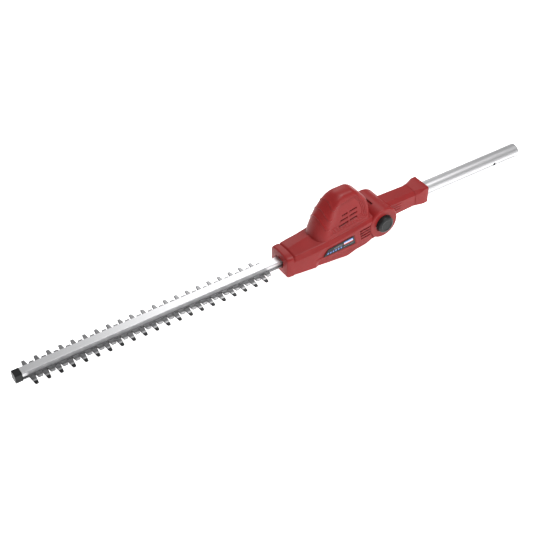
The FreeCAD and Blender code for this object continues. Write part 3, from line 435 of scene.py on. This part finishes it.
# x, top at the centre, half width and height of the top edge, half width and height of the side, underside
CASING = np.array([
    (-562, -3.0, 24.2, -5.2, 28.2, -15.2, -46.6), (-541, 1.0, 25.6, -3.2, 30.2, -13.2, -47.2),
    (-524, 4.2, 26.6, -2.2, 31.5, -11.6, -47.8), (-503, 7.7, 28.2, 0.0, 33.2, -8.6, -49.0),
    (-484, 9.5, 29.3, 2.4, 34.4, -5.8, -50.2), (-461, 11.2, 29.5, 5.2, 34.5, -2.6, -52.2),
    (-441, 12.6, 29.5, 7.8, 34.5, 0.4, -54.2), (-430, 13.6, 29.5, 9.0, 34.5, 2.0, -51.2),
    (-420, 14.4, 29.5, 10.2, 34.5, 3.4, -48.2), (-400, 16.0, 29.1, 13.2, 34.2, 6.8, -45.8),
    (-378, 16.4, 27.0, 15.0, 33.0, 9.0, -38.6),
])
CASING_ROWS, CASING_STATIONS = 300, 240
PROFILE_POINTS = (30, 18, 84, 4, 30)
REAR_GUESS = -392.0
LEDGE_DEPTH, LEDGE_DROPS = 1.3, (3.0, 6.6, 10.2)
SLOTS, SLOT_FRONT, SLOT_LENGTH = 4, -417.0, 25.0
SLOT_LOW, SLOT_STEP, SLOT_WIDTH = -5.5, 6.3, 2.6
CENTRE_GAP = 0.02


def casing_section(x):
    """Points round half of the casing at each x, from the top of the centre plane to the underside.

    The corners are joined by straight runs, and each point is then averaged with its neighbours, which
    rounds the corners.
    """
    top, edge, edge_z, side, side_z, bottom = (flow(x, CASING[:, 0], CASING[:, k]) for k in range(1, 7))
    zero = np.zeros_like(x)
    corners_y = [zero, edge, side, side, side - 1.5, zero]
    corners_z = [top, edge_z, side_z, bottom + 1.5, bottom, bottom]
    runs_y, runs_z = [], []
    for index, count in enumerate(PROFILE_POINTS):
        last = index == len(PROFILE_POINTS) - 1
        part = np.linspace(0, 1, count, endpoint=last)[None, :]
        for corners, runs in ((corners_y, runs_y), (corners_z, runs_z)):
            a, b = corners[index][:, None], corners[index + 1][:, None]
            runs.append(a + (b - a) * part)
    y, z = np.concatenate(runs_y, axis=1), np.concatenate(runs_z, axis=1)
    for _ in range(3):
        for values in (y, z):
            values[:, 1:-1] = 0.5 * values[:, 1:-1] + 0.25 * (values[:, :-2] + values[:, 2:])
    return y, z


def side_vents(x, z):
    """How far each point lies inside one of the four slots ahead of the joint barrel."""
    found = np.zeros_like(x)
    for index in range(SLOTS):
        first = SLOT_FRONT + 1.2 * index
        level = z - (SLOT_LOW - SLOT_STEP * index) - (x - first) * 0.11
        found = np.maximum(found, inside_slot(level, x, 0, SLOT_WIDTH, first, first + SLOT_LENGTH))
    return found


def casing_rings():
    """Rings of half the casing, on the near side of the centre plane.

    The rows run from the front to the rear seat, which is part of a cylinder round the tilting axis,
    so each point's row is stretched to end on it. The side sinks for the label behind a sloping
    facet, steps in three times along the bottom, and sinks again at the slots.
    """
    sizes = bpy.context.scene.trimmer_sizes
    start, count = CASING[0, 0], sum(PROFILE_POINTS)
    share = np.linspace(0, 1, CASING_ROWS)[:, None]
    x = np.repeat(start + (REAR_GUESS - start) * share, count, axis=1)
    for _ in range(6):
        y, z = section_at(x)
        reach = np.sqrt(np.clip(SEAT_RADIUS**2 - (z - PIVOT_Z) ** 2, 1, None))
        x = start + (PIVOT_X - reach - start) * share
    y, z = section_at(x)

    side = ease(y, 26.5, 27.5)
    facet_start = -516 + (z + 26) * 12 / 17
    facet_end = -501.5 + (z + 27.8) * 10 / 13.8
    high, low = -8.0 + 0.05 * (x + 504), -29.2 + 0.015 * (x + 516)
    rear_edge = -424.5 - (z + 26) * 0.22
    panel = np.clip((x - facet_start) / (facet_end - facet_start), 0, 1) * ease(rear_edge - x, 0, 1.2)
    panel *= ease(high - z, 0, 1.0) * ease(z - low, 0, 0.8)
    ledges = sum(LEDGE_DEPTH * ease(low - drop - z, 0, 0.8) for drop in LEDGE_DROPS)
    ledges *= ease(x, -516, -506)
    vents = side_vents(x, z) * ease(PIVOT_X - SEAT_RADIUS - 2.0 - x, -6, 0)
    groove = 1.4 * np.exp(-(((x + 560.5) / 2.2) ** 2)) * ease(z, -16, -10)
    sink = sizes.label_depth / MM * panel + ledges + sizes.vent_depth / MM * vents
    y = np.clip(y - side * sink - groove * (y > 1), 0, None)
    z = z - groove * ease(26 - y, 0, 4)
    return np.stack([x, -y, z], -1), vents


def section_at(x):
    """The casing's half section where every point has its own x, read between closely spaced sections."""
    y, z = np.empty_like(x), np.empty_like(x)
    stations = np.linspace(CASING[0, 0], CASING[-1, 0], CASING_STATIONS)
    y_grid, z_grid = casing_section(stations)
    for column in range(x.shape[1]):
        y[:, column] = np.interp(x[:, column], stations, y_grid[:, column])
        z[:, column] = np.interp(x[:, column], stations, z_grid[:, column])
    return y, z


def make_casing(side):
    """One half of the moulded casing, closed by a flat face along the centre plane.

    side is -1 for the half with the label, and 1 for its mirror image.
    """
    outer, vents = casing_rings()
    inner = outer[:, ::-1][:, 1:-1][:, ::12].copy()
    inner[..., 1] = -CENTRE_GAP
    rings = np.concatenate([outer, inner], axis=1)
    rings[..., 1] *= -side
    ends = np.array([rings[0].mean(0), (PIVOT_X - SEAT_RADIUS - 4, side * 14.0, PIVOT_Z)])
    skin = stacked_rings(rings, ends)
    columns = rings.shape[1]
    shading = np.concatenate([vents, np.zeros((CASING_ROWS, inner.shape[1]))], axis=1)
    # faces deep inside a slot take the vent finish, which is painted shade
    deep = shading.reshape(-1)[grid_faces(CASING_ROWS, columns, around=True)].min(1) > 0.5
    indices = np.concatenate([deep.astype(int), np.zeros(2 * columns, int)])
    word = "left" if side < 0 else "right"
    return add_piece(f"casing_{word}_skin", [skin], [FINISHES["red"], FINISHES["vent"]], "motor_head",
                     [f"casing_{word}"], indices, crease=40)


# ---------------------------------------------------------------- front frame

# half width, underside, top and middle height of the window that the bar comes out of
WINDOW_HALF, WINDOW_LOW, WINDOW_HIGH, WINDOW_MIDDLE = 11.5, -33.0, -17.9, -25.4
FRAME_MIDDLE = -23
STEEPNESS = 30

def arch_outline(half, bottom, shoulder, crown, count=96):
    """An arch seen along X: a flat floor, upright sides and a crown that is part of an ellipse."""
    angle = np.linspace(0, math.pi, count // 2)
    power = 0.62
    arc_y = half * np.sign(np.cos(angle)) * np.abs(np.cos(angle)) ** power
    arc_z = shoulder + (crown - shoulder) * np.sin(angle) ** power
    floor = np.linspace(-1, 1, count // 4 + 2)[1:-1]
    side = np.linspace(0, 1, count // 8 + 1)[1:]
    y = np.concatenate([arc_y, np.full(len(side), -half), half * floor, np.full(len(side), half)])
    z = np.concatenate([arc_z, shoulder + (bottom - shoulder) * side, np.full(len(floor), bottom),
                        bottom + (shoulder - bottom) * np.concatenate([[0], side[:-1]])])
    return y, z


def make_front_frame():
    """The thick arch with a rounded front edge and a window that the bar comes out of.

    The arch is repeated along X and shrinks a little towards the front. Stretched far past the window
    and cut off at its edges, the same outline gives the window's rectangle.
    """
    y, z = arch_outline(1.0, -46.4, -13.5, -2.3)
    window_y = np.clip(y * STEEPNESS, -WINDOW_HALF, WINDOW_HALF)
    window_z = np.clip(WINDOW_MIDDLE + (z - FRAME_MIDDLE) * STEEPNESS, WINDOW_LOW, WINDOW_HIGH)
    rows = []
    for x, half, inset in ((-562.0, 28.2, 0.0), (-563.0, 28.1, 0.0), (-573.0, 27.0, 0.0), (-574.6, 26.8, 0.4),
                           (-575.6, 26.7, 1.1), (-576.0, 26.6, 2.2)):
        shrink = 1 - inset / 20
        height = FRAME_MIDDLE + (z - FRAME_MIDDLE) * shrink
        rows.append(np.stack([np.full_like(y, x), y * (half - inset), height], -1))
    for x in (-576.0, -575.6, -570.0):
        grow = 0.6 if x == -576.0 else 0.0
        rows.append(np.stack([np.full_like(y, x), window_y + grow * np.sign(window_y),
                              window_z + grow * np.sign(z - FRAME_MIDDLE)], -1))
    skin = stacked_rings(np.array(rows), [(-562.0, 0, FRAME_MIDDLE), (-570.0, 0, WINDOW_MIDDLE)])
    return add_piece("front_frame_skin", [skin], [FINISHES["red"]], "motor_head",
                     ["front_frame"])


# ---------------------------------------------------------------- label

LABEL_LEFT = ((-499.5, -27.8), (-489.5, -14.0))
LABEL_RIGHT = ((-427.0, -26.0), (-431.5, -7.2))
LABEL_FRONT, LABEL_BACK = -34.35, -33.6
LABEL_ROWS, LABEL_COLUMNS = 60, 220
INKS = ("film", "blue ink", "grey ink", "white ink", "red ink")


def label_inks(across, up):
    """Which ink covers each spot: a row of dots, dashed strokes and a block of three bands."""
    ink = np.zeros(across.shape, int)
    for index in range(6):
        centre = 0.10 + 0.088 * index
        ink[((across - centre) / 0.022) ** 2 + ((up - 0.30) / 0.11) ** 2 < 1] = 1
    dashes = (np.sin(across * 150) > -0.35) & (across > 0.27) & (across < 0.56)
    ink[dashes & (np.abs(up - 0.66) < 0.055)] = 2
    ink[dashes & (np.abs(up - 0.52) < 0.03)] = 2
    ink[(np.sin(across * 210) > -0.2) & (across > 0.62) & (across < 0.95) & (np.abs(up - 0.27) < 0.025)] = 2
    block = (across > 0.62) & (across < 0.95)
    ink[block & (up > 0.70) & (up < 0.84)] = 1
    ink[block & (up > 0.58) & (up <= 0.70)] = 3
    ink[block & (up > 0.46) & (up <= 0.58)] = 4
    return ink


def make_label():
    """The thin label plate, its front a fine grid of cells that each take one ink."""
    rows, columns = LABEL_ROWS, LABEL_COLUMNS
    up, across = np.meshgrid(np.linspace(0, 1, rows), np.linspace(0, 1, columns), indexing="ij")
    corners = [np.array(pair) for pair in (*LABEL_LEFT, *LABEL_RIGHT)]
    low = corners[0] + (corners[2] - corners[0]) * across[..., None]
    high = corners[1] + (corners[3] - corners[1]) * across[..., None]
    spot = low + (high - low) * up[..., None]
    sheet = np.stack([spot[..., 0], np.full(up.shape, LABEL_FRONT), spot[..., 1]], -1)
    rim = np.concatenate([np.arange(columns), np.arange(1, rows) * columns + columns - 1,
                          (rows - 1) * columns + np.arange(columns - 2, -1, -1),
                          np.arange(rows - 2, 0, -1) * columns])
    base = sheet.reshape(-1, 3)[rim] + (0, LABEL_BACK - LABEL_FRONT, 0)
    points = np.concatenate([sheet.reshape(-1, 3), base, [base.mean(0)]])
    total, edge = rows * columns, len(rim)
    here, after = np.arange(edge), (np.arange(edge) + 1) % edge
    walls = np.stack([rim[here], total + here, total + after, rim[after]], -1)
    lid = np.stack([np.full(edge, total + edge), total + after, total + here, np.full(edge, -1)], -1)
    cells = grid_faces(rows, columns)
    faces = np.concatenate([cells, walls, lid])
    middle_up = up.reshape(-1)[cells].mean(1)
    middle_across = across.reshape(-1)[cells].mean(1)
    indices = np.concatenate([label_inks(middle_across, middle_up), np.zeros(2 * edge, int)])
    return add_piece("label_face", [(points, faces)], [FINISHES[ink] for ink in INKS], "motor_head",
                     ["label_plate"], indices)


# ---------------------------------------------------------------- lock button

# radius and place along Y down the button's profile, from the middle of its face to the middle of its back
BUTTON = (
    (0, -42.3), (9.0, -42.3), (10.4, -42.3), (11.2, -42.9), (12.0, -43.0), (12.8, -42.7), (14.6, -42.3),
    (15.8, -41.7), (16.6, -40.6), (17.0, -39.2), (17.0, -32.8), (8.9, -32.8), (8.9, -20), (0.0, -20),
)
BUTTON_POINTS = 96


def make_lock_button():
    """The round button: a profile turned about the tilting axis, dished inside a raised ring."""
    radius, depth = np.array(BUTTON).T
    turn = np.linspace(0, 2 * math.pi, BUTTON_POINTS, endpoint=False)
    rings = np.stack([
        PIVOT_X + radius[1:-1, None] * np.cos(turn), np.repeat(depth[1:-1, None], BUTTON_POINTS, 1),
        PIVOT_Z + radius[1:-1, None] * np.sin(turn),
    ], -1)
    ends = [(PIVOT_X, depth[0], PIVOT_Z), (PIVOT_X, depth[-1], PIVOT_Z)]
    return add_piece("lock_button_skin", [stacked_rings(rings, ends)], [FINISHES["black"]], "lock",
                     ["lock_button"], crease=50)


# ---------------------------------------------------------------- bar and comb

# half width and height down the bar's right side, from the middle of its top to that of its underside
BAR_SECTION = (
    (0.0, -17.95), (4.0, -17.95), (7.5, -17.95), (8.0, -18.35), (8.0, -18.7), (7.0, -18.9), (7.0, -19.9),
    (8.0, -20.1), (8.0, -23.5), (8.0, -26.9), (7.5, -27.4), (4.0, -27.4), (0.0, -27.4),
)
BAR_FRONT, BAR_REAR, BAR_STATIONS = -1091, -516, 60
FIRST_TOOTH, PITCH, TEETH = -1072.0, 22.5, 21
COMB_FRONT, COMB_REAR, COMB_SLICE = -1087.3, -545.0, 0.3
COMB_UNDERSIDE, COMB_EDGE, COMB_TOP = -31.05, -29.85, -29.06
SPINE_HALF, SPINE_TOP_HALF = 10.5, 10.4
# distance along the blade from a tooth's middle, and how far the tooth reaches there
TOOTH_PLACES, TOOTH_REACHES = (0, 1.5, 2.6, 3.15, 5.6, 5.61), (31.0, 31.0, 30.4, 29.0, 10.5, 10.5)


def make_bar():
    """The extruded bar that carries the blades: one section, with a narrow groove on each side, along X."""
    right = np.array(BAR_SECTION)
    section = np.concatenate([right, right[-2:0:-1] * (-1, 1)])
    x = np.linspace(BAR_FRONT, BAR_REAR, BAR_STATIONS)
    rings = np.empty((len(x), len(section), 3))
    rings[..., 0], rings[..., 1], rings[..., 2] = x[:, None], section[:, 0], section[:, 1]
    return add_piece("bar_skin", [stacked_rings(rings)], [FINISHES["bar"]], "motor_head",
                     ["blade_bar"], crease=20)


def comb_reach(x):
    """How far the comb reaches from the centre at each x: its spine, or a blunt tooth every pitch."""
    away = np.abs((x - FIRST_TOOTH + PITCH / 2) % PITCH - PITCH / 2)
    count = np.round((x - FIRST_TOOTH) / PITCH)
    tooth = np.interp(away, TOOTH_PLACES, TOOTH_REACHES)
    return np.where((count >= 0) & (count < TEETH), tooth, SPINE_HALF)


def make_comb():
    """The long-tooth blade as slices along X, with bevelled teeth.

    The upper face of a slice reaches as far as the shortest slice within one bevel of it, less most of
    a bevel, so it is drawn in all round each tooth.
    """
    bevel = bpy.context.scene.trimmer_sizes.tooth_bevel / MM
    x = np.arange(COMB_FRONT, COMB_REAR, COMB_SLICE)
    low = comb_reach(x)
    shifts = np.arange(-bevel, bevel + 0.01, COMB_SLICE)
    high = np.min([comb_reach(x + shift) for shift in shifts], axis=0) - 0.7 * bevel
    high[low < SPINE_HALF + 0.1] = SPINE_TOP_HALF
    parts = ((low, COMB_UNDERSIDE), (low, COMB_EDGE), (high, COMB_TOP))
    right = [np.stack([x, reach, np.full_like(x, z)], -1) for reach, z in parts]
    left = [points * (1, -1, 1) for points in right[::-1]]
    rings = np.stack(right + left, axis=1)
    return add_piece("comb_skin", [stacked_rings(rings)], [FINISHES["comb"]], "motor_head",
                     ["comb_blade"], crease=25)


# ---------------------------------------------------------------- neck

# x, half width, top, underside, size of the upper and the lower corners
COLLAR = (
    (-273.0, 19.9, 18.2, -18.6, 7.0, 7.0), (-264.0, 20.8, 18.9, -19.4, 6.4, 7.2),
    (-253.5, 22.0, 21.2, -21.6, 2.6, 8.0), (-245.0, 22.0, 21.2, -21.4, 2.4, 8.6),
    (-243.6, 21.7, 20.8, -21.0, 2.6, 8.6), (-243.0, 20.9, 20.0, -20.2, 3.0, 8.6),
)
COLLAR_BORE, EDGE_POINTS = 15.1, 12
RIB_FRONT, RIB_REAR, RIB_HEIGHTS, RIB_POINTS = -331.0, -306.0, (7.0, 1.2, -4.6), 20


def make_collar():
    """The flared collar: eight-sided at the neck, it opens to a square whose corners end in triangles."""
    rings = []
    for x, half, top, bottom, upper, lower in COLLAR:
        y = np.array([half, half - upper, upper - half, -half, -half, lower - half, half - lower, half])
        rise, fall = 0.9 * upper, 0.9 * lower
        z = np.array([top - rise, top, top, top - rise, bottom + fall, bottom, bottom, bottom + fall])
        rings.append(np.stack([np.full(8, x), y, z], -1))
    turn = np.arctan2(rings[-1][:, 2], rings[-1][:, 1])
    for x in (-243.0, -251.0):
        rings.append(np.stack([np.full(8, x), COLLAR_BORE * np.cos(turn), COLLAR_BORE * np.sin(turn)], -1))
    rings = np.array(rings)
    fine = np.linspace(0, 8, 8 * EDGE_POINTS, endpoint=False)
    spot, part = fine.astype(int), (fine % 1)[None, :, None]
    dense = rings[:, spot] * (1 - part) + rings[:, (spot + 1) % 8] * part
    angle = np.arctan2(dense[-1, :, 2], dense[-1, :, 1])
    for row in (-2, -1):
        dense[row, :, 1], dense[row, :, 2] = COLLAR_BORE * np.cos(angle), COLLAR_BORE * np.sin(angle)
    skin = stacked_rings(dense, [(-273.0, 0, 0), (-251.0, 0, 0)])
    return add_piece("collar_skin", [skin], [FINISHES["red"]], "pole_end", ["neck_collar"],
                     crease=18)


def make_neck_ribs():
    """The grip ribs on both sides of the neck, each a rounded bar that sinks into the side at its ends."""
    skins = []
    turn = np.linspace(0, 2 * math.pi, RIB_POINTS, endpoint=False)
    along = np.linspace(0, 1, 40)
    x = RIB_FRONT + (RIB_REAR - RIB_FRONT) * along
    for side in (-1, 1):
        for height in RIB_HEIGHTS:
            wall = flow(x, (-347, -305, -266), (20.0, 19.6, 19.2))
            proud = 1.6 * np.clip(np.sin(math.pi * along), 0, 1) ** 0.35 - 1.4
            y = side * (wall[:, None] + proud[:, None] + 1.0 * np.cos(turn)[None, :])
            z = height + 1.5 * np.sin(turn)[None, :] + 0 * x[:, None]
            skins.append(stacked_rings(np.stack([np.repeat(x[:, None], RIB_POINTS, 1), y, z], -1)))
    return add_piece("neck_ribs", skins, [FINISHES["red"]], "pole_end", crease=60)


# ---------------------------------------------------------------- stage

FLOOR_HEIGHT, FLOOR_GLOW, WORLD_STRENGTH = -0.09, 0.9, 0.38
# name, place, width and watts of each square light
LIGHTS = (
    ("key light", (0.1, -0.5, 2.0), 0.8, 30.0),
    ("side light", (0.3, -1.7, 0.35), 0.6, 5.0),
    ("rear light", (0.2, 1.5, 1.3), 0.8, 9.0),
)
LENS, SENSOR = 72.74, 36.0
CAMERA_PLACE = (-1.4131, -1.2572, 1.2585)
CAMERA_RIGHT, CAMERA_UP = (0.8364, -0.5480, -0.0094), (0.3628, 0.5407, 0.7589)


def make_stage():
    """The pale floor, soft lights, plain world and camera."""
    bpy.ops.mesh.primitive_plane_add(size=30, location=(-0.55, 0, FLOOR_HEIGHT))
    floor = bpy.context.object
    floor.name = "studio_floor"
    recipe = Recipe("studio floor")
    recipe.set("Base Color", recipe.between(recipe.grain(2.0), (0.90, 0.90, 0.90), (0.93, 0.93, 0.93)))
    recipe.set("Roughness", 0.9)
    recipe.set("Emission Color", (1, 1, 1, 1))
    recipe.set("Emission Strength", FLOOR_GLOW)
    floor.data.materials.append(recipe.material)

    world = bpy.data.worlds.new("studio world")
    bpy.context.scene.world = world
    world.use_nodes = True
    background = world.node_tree.nodes["Background"]
    background.inputs["Color"].default_value = (1, 1, 1, 1)
    background.inputs["Strength"].default_value = WORLD_STRENGTH
    bpy.context.scene.view_settings.view_transform = "Standard"

    target = Vector((-0.55, 0, 0))
    for name, spot, size, power in LIGHTS:
        data = bpy.data.lights.new(name, "AREA")
        data.size, data.energy = size, power
        light = bpy.data.objects.new(name, data)
        light.location = spot
        light.rotation_euler = (target - Vector(spot)).to_track_quat("-Z", "Y").to_euler()
        bpy.context.scene.collection.objects.link(light)

    data = bpy.data.cameras.new("camera")
    data.lens, data.sensor_width = LENS, SENSOR
    data.clip_start, data.clip_end = 0.05, 50.0
    camera = bpy.data.objects.new("camera", data)
    right, up = Vector(CAMERA_RIGHT), Vector(CAMERA_UP)
    back = right.cross(up).normalized()
    up = back.cross(right.normalized()).normalized()
    turn = Matrix((right.normalized(), up, back)).transposed().to_4x4()
    camera.matrix_world = Matrix.Translation(CAMERA_PLACE) @ turn
    bpy.context.scene.collection.objects.link(camera)
    bpy.context.scene.camera = camera


# ---------------------------------------------------------------- add-on


class TrimmerSizes(bpy.types.PropertyGroup):
    ridge_height: FloatProperty(
        name="Ridge height", description="How far the rolls stand out round the front of the hood",
        default=0.0013, min=0.0, max=0.004, unit="LENGTH")
    panel_depth: FloatProperty(
        name="Side panel depth", description="How far the hood's side panels are sunk", default=0.0040,
        min=0.0, max=0.005, unit="LENGTH")
    vent_depth: FloatProperty(
        name="Vent depth", description="How deep the cooling slots are", default=0.0022, min=0.0, max=0.005,
        unit="LENGTH")
    tooth_bevel: FloatProperty(
        name="Tooth bevel", description="How far the upper edges of the long teeth are ground back",
        default=0.0012, min=0.0003, max=0.002, unit="LENGTH")
    label_depth: FloatProperty(
        name="Label recess", description="How far the label panel is sunk into the casing", default=0.0012,
        min=0.0, max=0.003, unit="LENGTH")


class TrimmerColours(bpy.types.PropertyGroup):
    casing: FloatVectorProperty(
        name="Casing", description="Colour of the moulded casing", subtype="COLOR", size=3,
        default=(0.27, 0.014, 0.014), min=0.0, max=1.0)
    button: FloatVectorProperty(
        name="Button and caps", description="Colour of the black plastic", subtype="COLOR", size=3,
        default=(0.012, 0.013, 0.013), min=0.0, max=1.0)
    steel: FloatVectorProperty(
        name="Blade steel", description="Colour of the blades", subtype="COLOR", size=3,
        default=(0.26, 0.26, 0.265), min=0.0, max=1.0)
    aluminium: FloatVectorProperty(
        name="Aluminium", description="Colour of the bar and the tube", subtype="COLOR", size=3,
        default=(0.66, 0.66, 0.67), min=0.0, max=1.0)


class TRIMMER_OT_finishes(bpy.types.Operator):
    """Makes the finishes and puts them on the frame's own pieces"""

    bl_idname = "trimmer.finishes"
    bl_label = "Finishes"

    def execute(self, context):
        FINISHES.update(make_finishes())
        for name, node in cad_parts.items():
            node.data.materials.clear()
            node.data.materials.append(FINISHES[NODE_FINISH[name]])
        return {"FINISHED"}


class TRIMMER_OT_hood(bpy.types.Operator):
    """Makes the motor hood with its rolls, side panels and slots"""

    bl_idname = "trimmer.hood"
    bl_label = "Motor hood"

    def execute(self, context):
        make_motor_hood()
        return {"FINISHED"}


class TRIMMER_OT_casing(bpy.types.Operator):
    """Makes the two casing halves"""

    bl_idname = "trimmer.casing"
    bl_label = "Casing halves"

    def execute(self, context):
        for side in (-1, 1):
            make_casing(side)
        return {"FINISHED"}


class TRIMMER_OT_front_frame(bpy.types.Operator):
    """Makes the arch at the front of the casing"""

    bl_idname = "trimmer.front_frame"
    bl_label = "Front frame"

    def execute(self, context):
        make_front_frame()
        return {"FINISHED"}


class TRIMMER_OT_label(bpy.types.Operator):
    """Makes the printed label"""

    bl_idname = "trimmer.label"
    bl_label = "Label"

    def execute(self, context):
        make_label()
        return {"FINISHED"}


class TRIMMER_OT_button(bpy.types.Operator):
    """Makes the lock button"""

    bl_idname = "trimmer.button"
    bl_label = "Lock button"

    def execute(self, context):
        make_lock_button()
        return {"FINISHED"}


class TRIMMER_OT_bar(bpy.types.Operator):
    """Makes the bar and the long-tooth blade"""

    bl_idname = "trimmer.bar"
    bl_label = "Bar and comb"

    def execute(self, context):
        make_bar()
        make_comb()
        return {"FINISHED"}


class TRIMMER_OT_neck(bpy.types.Operator):
    """Makes the flared collar and the grip ribs of the neck"""

    bl_idname = "trimmer.neck"
    bl_label = "Neck collar and ribs"

    def execute(self, context):
        make_collar()
        make_neck_ribs()
        return {"FINISHED"}


class TRIMMER_OT_stage(bpy.types.Operator):
    """Makes the floor, lights, world and camera"""

    bl_idname = "trimmer.stage"
    bl_label = "Studio"

    def execute(self, context):
        make_stage()
        return {"FINISHED"}


STEPS = (
    TRIMMER_OT_finishes, TRIMMER_OT_hood, TRIMMER_OT_casing, TRIMMER_OT_front_frame, TRIMMER_OT_label,
    TRIMMER_OT_button, TRIMMER_OT_bar, TRIMMER_OT_neck, TRIMMER_OT_stage,
)


class TRIMMER_PT_panel(bpy.types.Panel):
    """Sizes, colours and steps of the trimmer head"""

    bl_label = "Pole hedge trimmer head"
    bl_idname = "TRIMMER_PT_panel"
    bl_space_type = "VIEW_3D"
    bl_region_type = "UI"
    bl_category = "Trimmer"

    def draw(self, context):
        for group in (context.scene.trimmer_sizes, context.scene.trimmer_colours):
            for name in group.__annotations__:
                self.layout.prop(group, name)
        for step in STEPS:
            self.layout.operator(step.bl_idname)


CLASSES = (TrimmerSizes, TrimmerColours, *STEPS, TRIMMER_PT_panel)


def register():
    for made in CLASSES:
        bpy.utils.register_class(made)
    bpy.types.Scene.trimmer_sizes = PointerProperty(type=TrimmerSizes)
    bpy.types.Scene.trimmer_colours = PointerProperty(type=TrimmerColours)


def unregister():
    del bpy.types.Scene.trimmer_sizes
    del bpy.types.Scene.trimmer_colours
    for made in reversed(CLASSES):
        bpy.utils.unregister_class(made)


def main():
    register()
    for step in STEPS:
        group, name = step.bl_idname.split(".")
        getattr(getattr(bpy.ops, group), name)()


if __name__ == "__main__":
    main()
